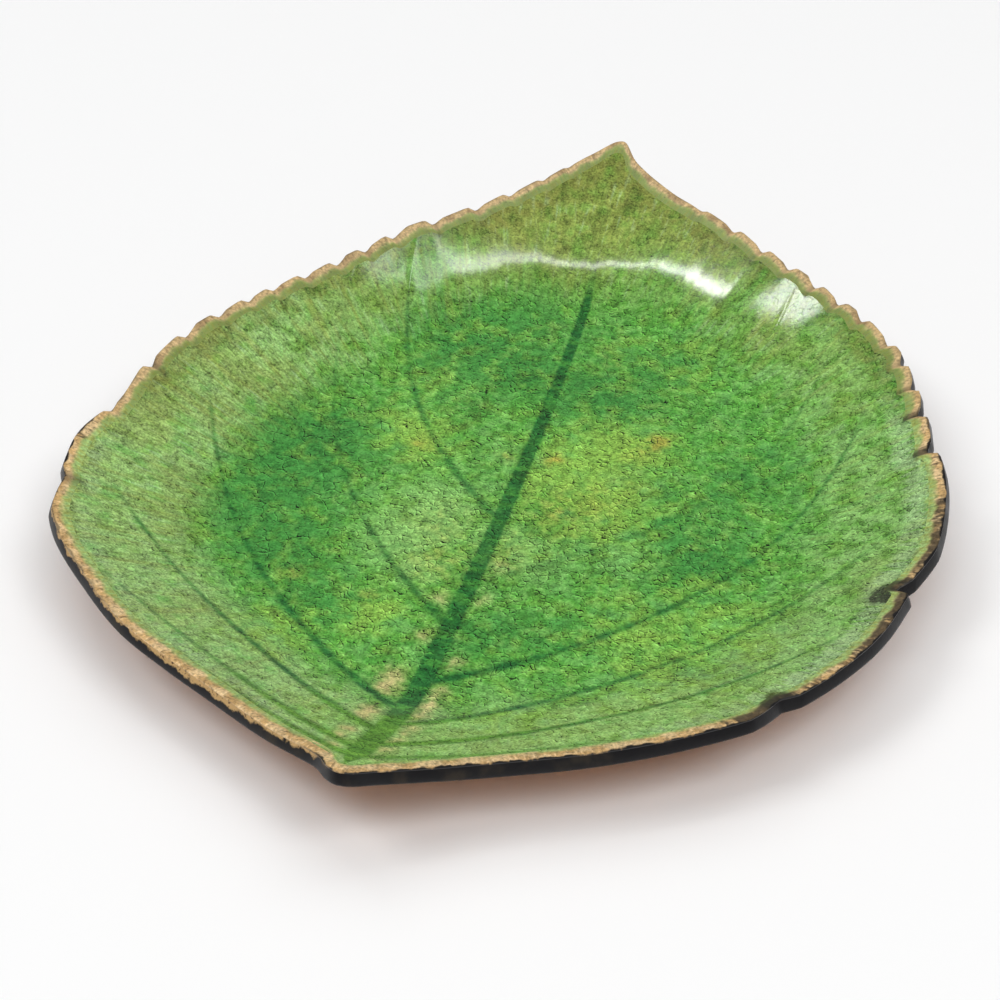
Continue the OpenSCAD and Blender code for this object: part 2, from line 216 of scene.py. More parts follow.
def length(title, text, value):
    """A size property, from millimetres."""
    return bpy.props.FloatProperty(
        name=title, description=text, default=value * MM, unit="LENGTH", precision=4
    )


def linear(code):
    """Linear colour of an sRGB hex value."""
    shares = [int(code[i : i + 2], 16) / 255 for i in (1, 3, 5)]
    return tuple(c / 12.92 if c <= 0.04045 else ((c + 0.055) / 1.055) ** 2.4 for c in shares)


def paint(title, text, code):
    """A colour property, from an sRGB hex value."""
    return bpy.props.FloatVectorProperty(
        name=title, description=text, default=linear(code), subtype="COLOR", size=3, min=0, max=1
    )


class LeafPlateSizes(bpy.types.PropertyGroup):
    """Sizes of the plate and of the patterns in its glazes."""

    leaf_length: length("Leaf length", "Rim from the stem to the tip", (BAND_HIGH[1] - BAND_LOW[1]) / MM)
    stem_reach: length("Stem reach", "From the middle of the base to the stem's end", -BAND_LOW[1] / MM)
    left_width: length("Left width", "From the axis to the widest place of the left margin", 81.5)
    right_width: length("Right width", "From the axis to the widest place of the right margin", 90)
    floor_height: length("Floor height", "Top of the glaze on the flat floor", GLAZE_LOW[2] / MM + 0.7)
    wall_run: length("Wall run", "Width of the sloping wall, seen from above", 36)
    wall_angle: bpy.props.FloatProperty(
        name="Wall angle",
        description="Slope of the wall at the rim",
        default=math.radians(27),
        subtype="ANGLE",
    )
    wall_bend: length("Wall bend", "How softly the floor turns into the wall", 12)
    edge_thick: length("Edge thickness", "Clay and glaze together at the rim", 2.6)
    edge_lean: length("Edge lean", "How far the outer edge leans out below", 0.9)
    tooth_depth: length("Tooth depth", "Depth of an ordinary notch", 1.6)
    tooth_reach: length("Tooth reach", "Length of a tooth's rising side", 7)
    tooth_round: length("Tooth end", "Length of a tooth's rounded end", 1.2)
    midrib_bow: length("Midrib bow", "How far the midrib swings to the right", 3.2)
    midrib_width: length("Midrib width", "Width at the stem", 5)
    midrib_end_width: length("Midrib end width", "Width at the tip's end", 2)
    vein_width: length("Vein width", "Width of a side vein at its root", 2.2)
    vein_end_width: length("Vein end width", "Width of a side vein at its end", 0.9)
    groove_depth: length("Groove depth", "Depth of the grooves pressed into the clay", 0.8)
    vein_sink: length("Vein sink", "How far the glaze sinks over a vein", 0.08)
    glaze_thick: length("Glaze thickness", "Thickness of the green glaze", 0.7)
    band_width: length("Band width", "Width of the tan band", 2.8)
    band_drop: length("Band drop", "How far the band runs down the outside", 0.7)
    coat_thick: length("Coat thickness", "Thickness of the black coat", 0.5)
    grid_step: length("Grid step", "Largest step of the meshes", 1.3)
    ripple_height: length("Ripple height", "Unevenness of the hand pressed surface", 0.03)
    ripple_size: length("Ripple size", "Width of one ripple", 20)
    ripple_seed: bpy.props.IntProperty(name="Ripple seed", description="Which ripples", default=7)
    fine_flake: length("Fine flakes", "Width of a flake where the glaze is thin", 1.4)
    coarse_flake: length("Coarse flakes", "Width of a flake where the glaze pooled", 2.9)
    streak_width: length("Streak width", "Width of the runs in the glaze on the wall", 0.8)
    speck_size: length("Speck size", "Width of the iron specks", 0.8)


class LeafPlateColours(bpy.types.PropertyGroup):
    """Colours of the glazes, the clay and the stage."""

    green: paint("Green", "Ordinary glaze", "#579f3b")
    emerald: paint("Emerald", "Thick pools", "#3a8137")
    gold: paint("Yellow green", "Thin warm pools", "#8eba4e")
    pale: paint("Pale", "Thin glaze on the flat floor", "#8dbd6b")
    wall: paint("Wall", "Thin glaze on the wall", "#9ec477")
    olive: paint("Olive", "Warm glaze at the tip and beside the rim", "#909648")
    run: paint("Runs", "Dark runs on the wall", "#5f7634")
    orange: paint("Orange", "Rust spots", "#b3923f")
    speck: paint("Speck", "Iron specks", "#6a5f2c")
    stain: paint("Vein stain", "Glaze pooled in the grooves", "#1a6328")
    stain_deep: paint("Deep vein stain", "Darkest marks in the midrib", "#0f4722")
    stem_green: paint("Stem green", "Midrib beside the stem", "#6f9c3c")
    bare: paint("Bare", "Clay seen through thin glaze", "#c4b07c")
    char: paint("Char", "Black gathered in the notches", "#2b2a20")
    milk: paint("Milky green", "Thin milky glaze beside the band", "#a6c292")
    tan: paint("Tan", "Rim band", "#c6a26c")
    tan_light: paint("Light tan", "Worn top of the band", "#e4c899")
    worn_tan: paint("Worn tan", "Left and back rim", "#c8ac7c")
    band_olive: paint("Band olive", "Inner side of the band", "#87893f")
    soot: paint("Soot", "Sooty lobes of the rim", "#40382b")
    tan_dark: paint("Dark tan", "Band at the notches", "#5d4329")
    black: paint("Black", "Edge coat", "#141315")
    clay: paint("Clay", "Bare red stoneware", "#b97a40")
    clay_light: paint("Light clay", "Grog in the clay", "#d29c60")
    backdrop: paint("Backdrop", "Floor", "#f7f7f7")


def curve_through(points, steps):
    """Smooth curve through the points, which runs on mirrored past both ends."""
    points = np.array(points, float)
    knots = np.vstack([points[1] * (-1, 1), points, points[-2] * (-1, 1)])
    t = (np.arange(steps) / steps)[:, None]
    spans = []
    for a, b, c, d in zip(knots, knots[1:], knots[2:], knots[3:]):
        bend = 2 * a - 5 * b + 4 * c - d
        twist = 3 * b - a - 3 * c + d
        spans.append((2 * b + (c - a) * t + bend * t**2 + twist * t**3) / 2)
    return np.vstack(spans + [points[-1:]])


def unit(v):
    """Vectors of length one."""
    return v / np.linalg.norm(v, axis=-1, keepdims=True)


class LeafSide:
    """One half of the leaf in plan, with x counted from the axis outwards."""

    def __init__(self, size, half):
        width = size.left_width if half["sign"] < 0 else size.right_width
        self.size = size
        self.sign = half["sign"]
        self.tones = half["vein_tones"]
        self.path = curve_through(half["margin"], CURVE_STEPS) * (width, size.leaf_length)
        self.path -= (0, size.stem_reach)
        run = np.concatenate([[0], np.cumsum(np.linalg.norm(np.diff(self.path, axis=0), axis=1))])
        self.length = run[-1]
        self.run_shares = run / run[-1]
        self.bearings = np.degrees(np.arctan2(self.path[:, 0], -self.path[:, 1]))
        self.bearings[-1] = 180
        self.reaches = np.linalg.norm(self.path, axis=1)
        self.lay_lines(half)

    def lay_lines(self, half):
        """Lines from the midrib to the margin, at each notch, tooth and vein edge, in order."""
        size = self.size
        notches = half["notches"]
        stations = [notches[0] * i / FRONT_COUNT for i in range(FRONT_COUNT)] + list(notches) + [1]
        vein_half = size.vein_end_width / 2 / self.length
        lines = []
        self.notches = []
        for i, (a, b) in enumerate(zip(stations, stations[1:])):
            gap = (b - a) * self.length
            depth = size.tooth_depth * half["depths"][i - FRONT_COUNT] if i >= FRONT_COUNT else 0
            rise = min(RISE_LIMIT_SHARE, size.tooth_reach / gap) * SHOULDER_SHARE
            end = min(END_LIMIT_SHARE, size.tooth_round / gap)
            if depth > 0:
                self.notches.append((len(lines), depth / size.tooth_depth))
            lines.append((a, depth, 0, 0))
            if i >= FRONT_COUNT:
                lines.append((a + (b - a) * rise, depth * SHOULDER_DEPTH_SHARE, 0, 0))
            if i in half["vein_teeth"]:
                vein = half["vein_teeth"].index(i) + 1
                lines += [((a + b) / 2 + vein_half * k, 0, vein, k) for k in (-1, 0, 1)]
            if i >= FRONT_COUNT:
                lines.append((b - (b - a) * end, 0, 0, 0))
        lines.append((1, 0, 0, 0))
        self.line_share, inset, self.line_vein, self.line_place = np.array(lines).T
        self.line_number = np.arange(len(lines))
        self.fine_share = np.linspace(0, 1, 6001)
        sigma = NOTCH_SOFTNESS / self.length * (len(self.fine_share) - 1)
        reach = int(4 * sigma) + 1
        kernel = np.exp(-0.5 * (np.arange(-reach, reach + 1) / sigma) ** 2)
        raw = np.interp(self.fine_share, self.line_share, inset)
        self.fine_inset = np.convolve(np.pad(raw, reach, mode="edge"), kernel / kernel.sum(), "valid")
        band = size.band_width + size.coat_thick
        half_start = size.vein_width / 2 / (size.leaf_length - 2 * band)
        at_vein = self.line_vein > 0
        starts = np.array(half["vein_starts"])[self.line_vein[at_vein].astype(int) - 1]
        bows = np.array(half["vein_bows"])[self.line_vein[at_vein].astype(int) - 1]
        last = self.line_number[-1]
        self.knot = np.concatenate([[0], self.line_number[at_vein], [last]])
        self.knot_start = np.concatenate([[0], starts + half_start * self.line_place[at_vein], [1]])
        self.knot_bow = np.concatenate([[0], bows, [0]])

    def share(self, rows):
        """Share of the margin at line numbers."""
        return np.interp(rows, self.line_number, self.line_share)

    def inset(self, rows):
        """Depth of the teeth at line numbers."""
        return np.interp(self.share(rows), self.fine_share, self.fine_inset)

    def margin(self, share):
        """Places on the margin, without its teeth."""
        x = np.interp(share, self.run_shares, self.path[:, 0])
        y = np.interp(share, self.run_shares, self.path[:, 1])
        return np.stack([x, y], -1)

    def inward(self, share):
        """Directions square to the margin into the leaf."""
        along = unit(self.margin(share + SLOPE_STEP_SHARE) - self.margin(share - SLOPE_STEP_SHARE))
        from_stem = np.minimum(1, share / TURN_SHARE)[:, None]
        from_tip = np.minimum(1, (1 - share) / TURN_SHARE)[:, None]
        normal = np.stack([-along[:, 1], along[:, 0]], -1)
        axis = np.array([0, 1.0])
        return unit(normal * from_stem * from_tip + axis * (1 - from_stem) - axis * (1 - from_tip))

    def rim(self, rows, inset, follow=1):
        """Places beside the toothed margin, an inset away from it."""
        share = self.share(rows)
        return self.margin(share) + self.inward(share) * (self.inset(rows) * follow + inset)[:, None]

    def band_line(self, rows):
        """Inner line of the rim band."""
        inset = self.size.band_width + self.size.coat_thick
        return self.rim(rows, np.full(len(rows), inset), BAND_FOLLOW_SHARE)

    def edge_line(self, rows, inset):
        """Line along the outer edge."""
        return self.rim(rows, np.full(len(rows), inset))


class LeafPlan:
    """The plate's plan as one grid, a row for each line and columns from the left edge to the right one."""

    side_count = 64
    midrib_count = 6
    rim_count = 3

    def __init__(self, size):
        self.size = size
        self.left = LeafSide(size, LEFT)
        self.right = LeafSide(size, RIGHT)
        band = size.band_width + size.coat_thick
        self.foot = band - size.stem_reach
        self.head = size.leaf_length - size.stem_reach - band
        self.rows = self.lay_rows()
        self.lay_grid()

    def midrib(self, m, sign):
        """The midrib's edge on one side, x counted outwards."""
        size = self.size
        width = size.midrib_width + (size.midrib_end_width - size.midrib_width) * np.minimum(
            1, m / MIDRIB_END_SHARE
        )
        ends = np.minimum(np.minimum(1, m / MIDRIB_START_SHARE), (1 - m) / (1 - MIDRIB_END_SHARE))
        x = width / 2 * ends + size.midrib_bow * np.sin(np.pi * m) * sign
        return np.stack([x, self.foot + (self.head - self.foot) * m], -1)

    def lay_rows(self):
        """Line numbers of the rows, as fine as the grid step asks."""
        gaps = np.zeros(len(self.left.line_share) - 1)
        for side in (self.left, self.right):
            starts = np.interp(side.line_number, side.knot, side.knot_start)
            gaps = np.maximum(gaps, np.diff(side.line_share) * side.length)
            gaps = np.maximum(gaps, np.diff(starts) * (self.head - self.foot))
        counts = np.maximum(2, np.ceil(gaps / self.size.grid_step)).astype(int)
        rows = [j + np.arange(n) / n for j, n in enumerate(counts)]
        return np.concatenate(rows + [[len(gaps)]])

    def field(self, side, rows, shares):
        """Places on rows of one side, at shares of the way from the midrib to the band."""
        m = np.interp(rows, side.knot, side.knot_start)
        bow = 4 * np.interp(rows, side.knot, side.knot_bow)[:, None, None]
        start = self.midrib(m, side.sign)[:, None]
        chord = side.band_line(rows)[:, None] - start
        across = np.stack([chord[..., 1], -chord[..., 0]], -1)
        w = shares[None, :, None]
        return start + chord * w + across * bow * w * (1 - w)

    def lay_grid(self):
        """Places of the whole grid, and what each column and cell is."""
        size = self.size
        shares = np.linspace(0, 1, self.side_count + 1)
        halves = []
        for side in (self.left, self.right):
            inner = self.field(side, self.rows, shares)
            edge = side.edge_line(self.rows, size.coat_thick)[:, None]
            steps = (np.arange(1, self.rim_count + 1) / self.rim_count)[None, :, None]
            rim = inner[:, -1:] + (edge - inner[:, -1:]) * steps
            halves.append(np.concatenate([inner, rim], 1) * (side.sign, 1))
        left, right = halves
        t = (np.arange(1, self.midrib_count) / self.midrib_count)[None, :, None]
        middle = left[:, :1] + (right[:, :1] - left[:, :1]) * t
        self.places = np.concatenate([left[:, ::-1], middle, right], 1)
        side_share = np.concatenate([shares, np.full(self.rim_count, 1.0)])
        middle_share = np.zeros(self.midrib_count - 1)
        self.column_share = np.concatenate([side_share[::-1], middle_share, side_share])
        left_end = len(side_share) - 1
        right_end = left_end + self.midrib_count
        column = np.arange(self.places.shape[1])
        self.column_side = np.where(column < left_end, -1, np.where(column > right_end, 1, 0))
        self.midrib_across = np.clip((column - left_end) / self.midrib_count, 0, 1) * 2 - 1
        cell = column[:-1]
        line = np.floor(self.rows[:-1] + 1e-9).astype(int)
        m_next = np.interp(self.rows[1:], self.right.knot, self.right.knot_start)
        kinds = np.zeros((len(self.rows) - 1, len(cell)), int)
        for side, cells in ((self.left, cell < left_end), (self.right, cell >= right_end)):
            vein = np.where(side.line_vein[line] == side.line_vein[line + 1], side.line_vein[line], 0)
            reach = np.maximum(self.column_share[:-1], self.column_share[1:]) <= VEIN_END_SHARE + 1e-6
            first = 2 if side is self.left else 2 + VEIN_COUNT
            numbers = np.where(vein > 0, first + vein - 1, 0).astype(int)
            kinds += numbers[:, None] * (cells & reach)[None]
        inside = (cell >= left_end) & (cell < right_end)
        has_midrib = (np.arange(len(line)) > 1) & (m_next < MIDRIB_END_SHARE)
        kinds[np.ix_(has_midrib, inside)] = 1
        kinds[:, (cell < self.rim_count) | (cell >= len(cell) - self.rim_count)] = -1
        self.kinds = kinds

    def margin_reach(self, bearing):
        """Reach of the margin at a bearing from the stem, left negative, in degrees."""
        b = (bearing + 180) % 360 - 180
        left = np.interp(np.abs(b), self.left.bearings, self.left.reaches)
        right = np.interp(np.abs(b), self.right.bearings, self.right.reaches)
        return np.where(b < 0, left, right)

    def past_floor(self, places):
        """How far places lie out from the flat floor's outline, which follows the margin's eased reach."""
        bearing = turns(places)
        total = 0
        weight = 0
        for k in range(-EASE_COUNT, EASE_COUNT + 1):
            share = 1 + EASE_COUNT - abs(k)
            total = total + self.margin_reach(bearing + k * EASE_ANGLE) * share
            weight += share
        reach = np.linalg.norm(places, axis=-1)
        return np.maximum(0, reach - total / weight + self.size.wall_run)

    def height(self, places):
        """Height of the glazed face by the mould's rule: a flat floor, a soft bend and a sloping wall."""
        size = self.size
        rise = np.hypot(self.past_floor(places), size.wall_bend) - size.wall_bend
        return size.floor_height + math.tan(size.wall_angle) * rise

    def thickness(self, places):
        """Clay and glaze together."""
        size = self.size
        out = np.minimum(1, self.past_floor(places) / size.wall_run)
        return size.floor_height + (size.edge_thick - size.floor_height) * out

    def vein_paths(self):
        """Middle line of each side vein, with its half widths and its darkness along it."""
        size = self.size
        shares = np.linspace(0, 1, 41)
        for side in (self.left, self.right):
            for v, (root, end) in enumerate(side.tones):
                number = side.line_number[(side.line_vein == v + 1) & (side.line_place == 0)]
                path = self.field(side, number, shares)[0] * (side.sign, 1)
                width = size.vein_width + (size.vein_end_width - size.vein_width) * shares
                tone = root + (end - root) * shares**TONE_POWER
                tone = tone * np.clip((TONE_END_SHARE - shares) / TONE_FADE_SHARE, 0, 1)
                yield path, width / 2, tone


def smoothstep(low, high, x):
    """Soft step from 0 to 1."""
    t = np.clip((x - low) / (high - low), 0, 1)
    return t * t * (3 - 2 * t)


def pools(places, spots):
    """Soft round pools added up."""
    total = np.zeros(places.shape[:-1])
    for x, y, radius, amount in spots:
        away = np.linalg.norm(places - (x * MM, y * MM), axis=-1) / (radius * MM)
        total += amount * np.exp(-(away**2))
    return total


def vein_shade(plan, places):
    """How deep in a vein places are: 1 on the midrib's or a dark vein's middle, 0 away from all."""
    size = plan.size
    shade = np.zeros(places.shape[:-1])
    for path, widths, tones in plan.vein_paths():
        best = np.zeros_like(shade)
        for i in range(len(path) - 1):
            step = path[i + 1] - path[i]
            t = np.clip(((places - path[i]) @ step) / (step @ step), 0, 1)
            away = np.linalg.norm(places - path[i] - t[..., None] * step, axis=-1)
            width = widths[i] + (widths[i + 1] - widths[i]) * t
            tone = tones[i] + (tones[i + 1] - tones[i]) * t
            best = np.maximum(best, tone * np.exp(-((away / width) ** 2) * 0.8))
        shade = np.maximum(shade, best)
    m = (places[..., 1] - plan.foot) / (plan.head - plan.foot)
    inside = np.clip(m, 0.001, 0.999)
    right = plan.midrib(inside, 1)[..., 0]
    left = -plan.midrib(inside, -1)[..., 0]
    centre = (left + right) / 2
    half = np.maximum((right - left) / 2, 0.3 * MM)
    across = np.abs(places[..., 0] - centre) / half
    ends = smoothstep(0.9, 0.78, m) * smoothstep(-0.01, 0.02, m)
    return np.maximum(shade, 1.1 * (1 - smoothstep(0.3, 1.4, across)) * ends)


def turns(places):
    """Bearings from the stem in degrees, right positive."""
    return np.degrees(np.arctan2(places[..., 0], -places[..., 1]))


def rim_kinds(places):
    """Shares of the left and back rim that iron has browned, and of the milky glaze on the rest."""
    turn = turns(places)
    browned = np.where(turn < 0, smoothstep(80, 100, -turn), smoothstep(108, 128, turn))
    milky = np.where(turn < 0, 0.5, smoothstep(20, 50, turn)) * (1 - browned)
    return browned, milky


def by_bearing(places, table):
    """The columns of a table by bearing, at places."""
    bearing, *columns = np.array(table, float).T
    turn = turns(places)
    return [np.interp(turn, bearing, column) for column in columns]


def notch_spots(plan):
    """A dark spot where the glaze gathered inside each notch, as the pools are written."""
    spots = list(CHAR_SPOTS)
    for side in (plan.left, plan.right):
        for row, depth in side.notches:
            x, y = (side.band_line(np.array([float(row)]))[0] * (side.sign, 1)) / MM
            spots.append((x, y, NOTCH_SPOT_RADIUS, NOTCH_SPOT_AMOUNT * depth))
    return spots


def glaze_marks(plan):
    """Values for each place of the grid that the glaze's material and the dish form read."""
    places = plan.places
    past = plan.past_floor(places)
    bearing = np.arctan2(places[..., 0], -places[..., 1])
    reach = np.linalg.norm(places, axis=-1)
    flow = np.stack([FLOW_RADIUS * np.sin(bearing), FLOW_RADIUS * np.cos(bearing), reach * FLOW_SHARE], -1)
    sides = (plan.left, plan.right)
    line = np.concatenate([side.band_line(plan.rows) * (side.sign, 1) for side in sides])
    gap = np.full(places.shape[:-1], 1.0)
    for i in range(0, len(line), 2):
        gap = np.minimum(gap, np.linalg.norm(places - line[i], axis=-1))
    browned, milky = rim_kinds(places)
    paleness, ran = by_bearing(places, WALL_KINDS)
    return {
        "past_floor": past,
        "rim_gap": gap,
        "vein": vein_shade(plan, places),
        "emerald": pools(places, EMERALD_POOLS),
        "gold": pools(places, GOLD_POOLS),
        "pale": pools(places, PALE_POOLS),
        "olive": pools(places, OLIVE_POOLS),
        "orange": pools(places, ORANGE_SPOTS),
        "bare": pools(places, BARE_SPOTS),
        "coarse": pools(places, COARSE_POOLS),
        "char": pools(places, notch_spots(plan)),
        "brown_rim": 0.75 * browned * smoothstep(7 * MM, 0.0, gap),
        "milky_rim": milky * np.exp(-(((gap - 2 * MM) / (2.5 * MM)) ** 2)),
        "tan_rim": (1 - browned) * np.exp(-gap / (0.7 * MM)),
        "pale_wall": paleness * smoothstep(3 * MM, 19 * MM, past),
        "ran": ran * smoothstep(4 * MM, 18 * MM, past),
        "stem": smoothstep(-58 * MM, -76 * MM, places[..., 1]),
        "flow": flow,
    }


def add(tree, kind, links=None, out=0, **settings):
    """Adds a node with its settings, and its inputs as links or values. Gives one of its outputs."""
    node = tree.nodes.new(kind)
    for name, value in settings.items():
        setattr(node, name, value)
    for key, value in (links or {}).items():
        if isinstance(value, bpy.types.NodeSocket):
            tree.links.new(value, node.inputs[key])
        else:
            node.inputs[key].default_value = value
    return node.outputs[out] if len(node.outputs) else node


def new_material(name):
    """An empty material, its tree and its shader."""
    material = bpy.data.materials.new(name)
    material.use_nodes = True
    tree = material.node_tree
    return material, tree, tree.nodes["Principled BSDF"]


def opaque(colour):
    """A colour property with its alpha, for a node's socket."""
    return (*colour, 1.0)


def cover(tree, *factors):
    """How much of a layer shows: factors multiplied and kept between 0 and 1. A factor is a number, a
    node's output, or a value with the two levels between which it is stepped softly from 0 to 1."""
    total = None
    for factor in factors:
        if isinstance(factor, tuple):
            value, low, high = factor
            links = {0: value, 1: low, 2: high}
            factor = add(tree, "ShaderNodeMapRange", links, interpolation_type="SMOOTHSTEP")
        if total is None:
            total = factor
        else:
            total = add(tree, "ShaderNodeMath", {0: total, 1: factor}, operation="MULTIPLY", use_clamp=True)
    return total


def layered(tree, ground, layers):
    """Colours laid one over the other, each with the factors of its cover."""
    colour = opaque(ground)
    for over, *factors in layers:
        links = {0: cover(tree, *factors), 6: colour, 7: opaque(over)}
        colour = add(tree, "ShaderNodeMix", links, out=2, data_type="RGBA")
    return colour


def readings(tree, keys, rows):
    """What a material reads, by name: the mesh's marks, and noises, each from a vector, the width of its
    spots and its detail."""
    mark = {key: add(tree, "ShaderNodeAttribute", out="Fac", attribute_name=key) for key in keys}
    noise = {}
    for key, vector, width, detail in rows:
        links = {"Vector": vector, "Scale": 1 / width, "Detail": detail}
        noise[key] = add(tree, "ShaderNodeTexNoise", links)
    return mark, noise


def stirred(tree, value, noise, amounts):
    """A value moved up and down by noises, each by its own amount."""
    for key, much in amounts:
        moved = add(tree, "ShaderNodeMath", {0: noise[key], 1: 0.5}, operation="SUBTRACT")
        value = add(tree, "ShaderNodeMath", {0: moved, 1: much, 2: value}, operation="MULTIPLY_ADD")
    return value


def crackle_glaze(name):
    """Glossy copper green glaze over red clay. Thick where it pooled, thin and pale on the wall, where it
    ran down in streaks; crazed into small flakes with stained cracks, each with a painted highlight along
    one lip."""
    size = bpy.context.scene.leaf_plate_sizes
    colours = bpy.context.scene.leaf_plate_colours
    material, tree, shader = new_material(name)
    place = add(tree, "ShaderNodeTexCoord", out="Object")
    flow = add(tree, "ShaderNodeAttribute", out="Vector", attribute_name="flow")
    keys = ("past_floor", "vein", "emerald", "gold", "pale", "olive", "orange", "bare", "coarse", "char")
    keys += ("brown_rim", "milky_rim", "tan_rim", "pale_wall", "ran", "stem")
    # Marks across the midrib are three times as wide as they are long
    rib = add(tree, "ShaderNodeVectorMath", {0: place, 1: (0.33, 1, 1)}, operation="MULTIPLY")
    mark, noise = readings(
        tree,
        keys,
        (
            ("cloud", place, 13 * MM, 2),
            ("mottle", place, 4.5 * MM, 2),
            ("blotch", place, 2.0 * MM, 1.5),
            ("grain", place, 1.0 * MM, 2),
            ("grit", place, 0.45 * MM, 2),
            ("speck", place, size.speck_size, 2),
            ("fine_gate", place, 1.5 * MM, 2),
            ("coarse_gate", place, 2.2 * MM, 2),
            ("run", flow, size.streak_width, 2),
            ("long_run", flow, 2.8 * size.streak_width, 2),
            ("rib", rib, 2.2 * MM, 2),
        ),
    )
    # Crackle: flakes with bent edges, each stained crack beside a painted highlight on the lip of the next
    # flake
    bend = add(tree, "ShaderNodeTexNoise", {"Vector": place, "Scale": 1 / (2.4 * MM), "Detail": 3}, out=1)
    bend = add(tree, "ShaderNodeVectorMath", {0: bend, 1: (0.5, 0.5, 0.5)}, operation="SUBTRACT")
    links = {0: bend, 1: (2.2 * MM,) * 3, 2: place}
    bent = add(tree, "ShaderNodeVectorMath", links, operation="MULTIPLY_ADD")
    # Painted highlight: the pale lips are the crack lines again, shifted a little to one side
    painted_glint_shift = (0.08 * MM, 0.26 * MM, 0)
    glint_place = add(tree, "ShaderNodeVectorMath", {0: bent, 1: painted_glint_shift}, operation="ADD")
    crack_half = 0.13 * MM
    crack = {}
    for key, width in (("fine", size.fine_flake), ("coarse", size.coarse_flake)):
        gate = cover(tree, (noise[key + "_gate"], 0.42, 0.56))
        for part, vector in (("", bent), ("_painted_glint", glint_place)):
            edge = add(
                tree,
                "ShaderNodeTexVoronoi",
                {"Vector": vector, "Scale": 1 / width},
                voronoi_dimensions="2D",
                feature="DISTANCE_TO_EDGE",
            )
            line = cover(tree, (edge, 1.5 * crack_half / width, 0.4 * crack_half / width))
            crack[key + part] = cover(tree, line, gate)
    flake = add(
        tree,
        "ShaderNodeTexVoronoi",
        {"Vector": bent, "Scale": 1 / size.fine_flake},
        out="Color",
        voronoi_dimensions="2D",
    )
    # Pools have ragged edges: their value is stirred with a noise before it is stepped. A mark is
    # stirred by its own share of the noise, so that it stays in its place
    ragged = {}
    for key, stir, much, apart, low, high in (
        ("emerald", "mottle", 2.4, False, -0.1, 1.1),
        ("gold", "mottle", -2.4, False, -0.1, 1.2),
        ("pale", "mottle", 1.6, False, 0.0, 1.1),
        ("pale_wall", "mottle", 1.8, False, 0.1, 0.95),
        ("coarse", "mottle", 2.0, False, 0.15, 0.85),
        ("olive", "mottle", 2.5, True, 0.0, 1.0),
        ("orange", "blotch", 3.0, True, 0.0, 1.2),
        ("bare", "blotch", 2.0, True, 0.0, 1.1),
        ("char", "grain", 2.0, True, 0.15, 0.85),
        ("brown_rim", "blotch", 4.0, True, 0.0, 1.0),
        ("milky_rim", "run", 5.0, True, 0.1, 1.0),
        ("tan_rim", "blotch", 4.0, True, 0.1, 1.0),
        ("vein", "mottle", 1.0, True, 0.05, 0.85),
    ):
        moved = add(tree, "ShaderNodeMath", {0: noise[stir], 1: 0.5}, operation="SUBTRACT")
        if apart:
            moved = add(tree, "ShaderNodeMath", {0: moved, 1: mark[key]}, operation="MULTIPLY")
        total = add(tree, "ShaderNodeMath", {0: moved, 1: much, 2: mark[key]}, operation="MULTIPLY_ADD")
        ragged[key] = cover(tree, (total, low, high))
    floor = cover(tree, (mark["past_floor"], 24 * MM, 10 * MM))
    fine_part = add(tree, "ShaderNodeMapRange", {0: ragged["coarse"], 3: 1.0, 4: 0.25})
    wall_crack = add(tree, "ShaderNodeMapRange", {0: mark["ran"], 3: 1.0, 4: 0.2})
    cracks = {}
    for part in ("", "_painted_glint"):
        cracks["fine" + part] = cover(tree, crack["fine" + part], fine_part, wall_crack)
        cracks["coarse" + part] = cover(tree, crack["coarse" + part], ragged["coarse"], wall_crack)
    broken = cover(tree, (noise["blotch"], 0.35, 0.6))
    patchy = cover(tree, (noise["mottle"], 0.4, 0.6))
    deep = cover(tree, (noise["rib"], 0.42, 0.64))
    ran = mark["ran"]
    colour = layered(
        tree,
        colours.green,
        (
            (colours.wall, ragged["pale_wall"], 0.95),
            (colours.emerald, (noise["cloud"], 0.4, 0.7), 0.4, floor),
            (colours.pale, (noise["blotch"], 0.4, 0.75), 0.4),
            (colours.pale, ragged["pale"], 0.8),
            (colours.emerald, ragged["emerald"], 0.9),
            (colours.gold, ragged["gold"], 0.85),
            (colours.olive, ragged["olive"], 0.8),
            (colours.milk, ragged["milky_rim"], 0.6),
            (colours.olive, (noise["cloud"], 0.45, 0.65), ran, 0.4),
            (colours.green, (noise["mottle"], 0.5, 0.68), ran, 0.4),
            (colours.olive, (noise["long_run"], 0.48, 0.7), ran, 0.5),
            (colours.run, (noise["run"], 0.5, 0.66), broken, ran, 0.7),
            (colours.milk, (noise["run"], 0.46, 0.3), patchy, ran, 0.45),
            (colours.orange, ragged["orange"], 0.6),
            (colours.speck, ragged["brown_rim"], 0.45),
            (colours.speck, (noise["speck"], 0.64, 0.76), 0.35),
            (colours.bare, ragged["bare"], 0.8),
            (colours.stain, ragged["vein"], 0.85),
            (colours.green, ragged["vein"], (noise["rib"], 0.5, 0.36), 0.35),
            (colours.stem_green, ragged["vein"], mark["stem"], 0.85),
            (colours.stain_deep, ragged["vein"], deep, 0.45),
            (colours.band_olive, ragged["tan_rim"], 0.45),
            (colours.char, ragged["char"], 0.9),
        ),
    )
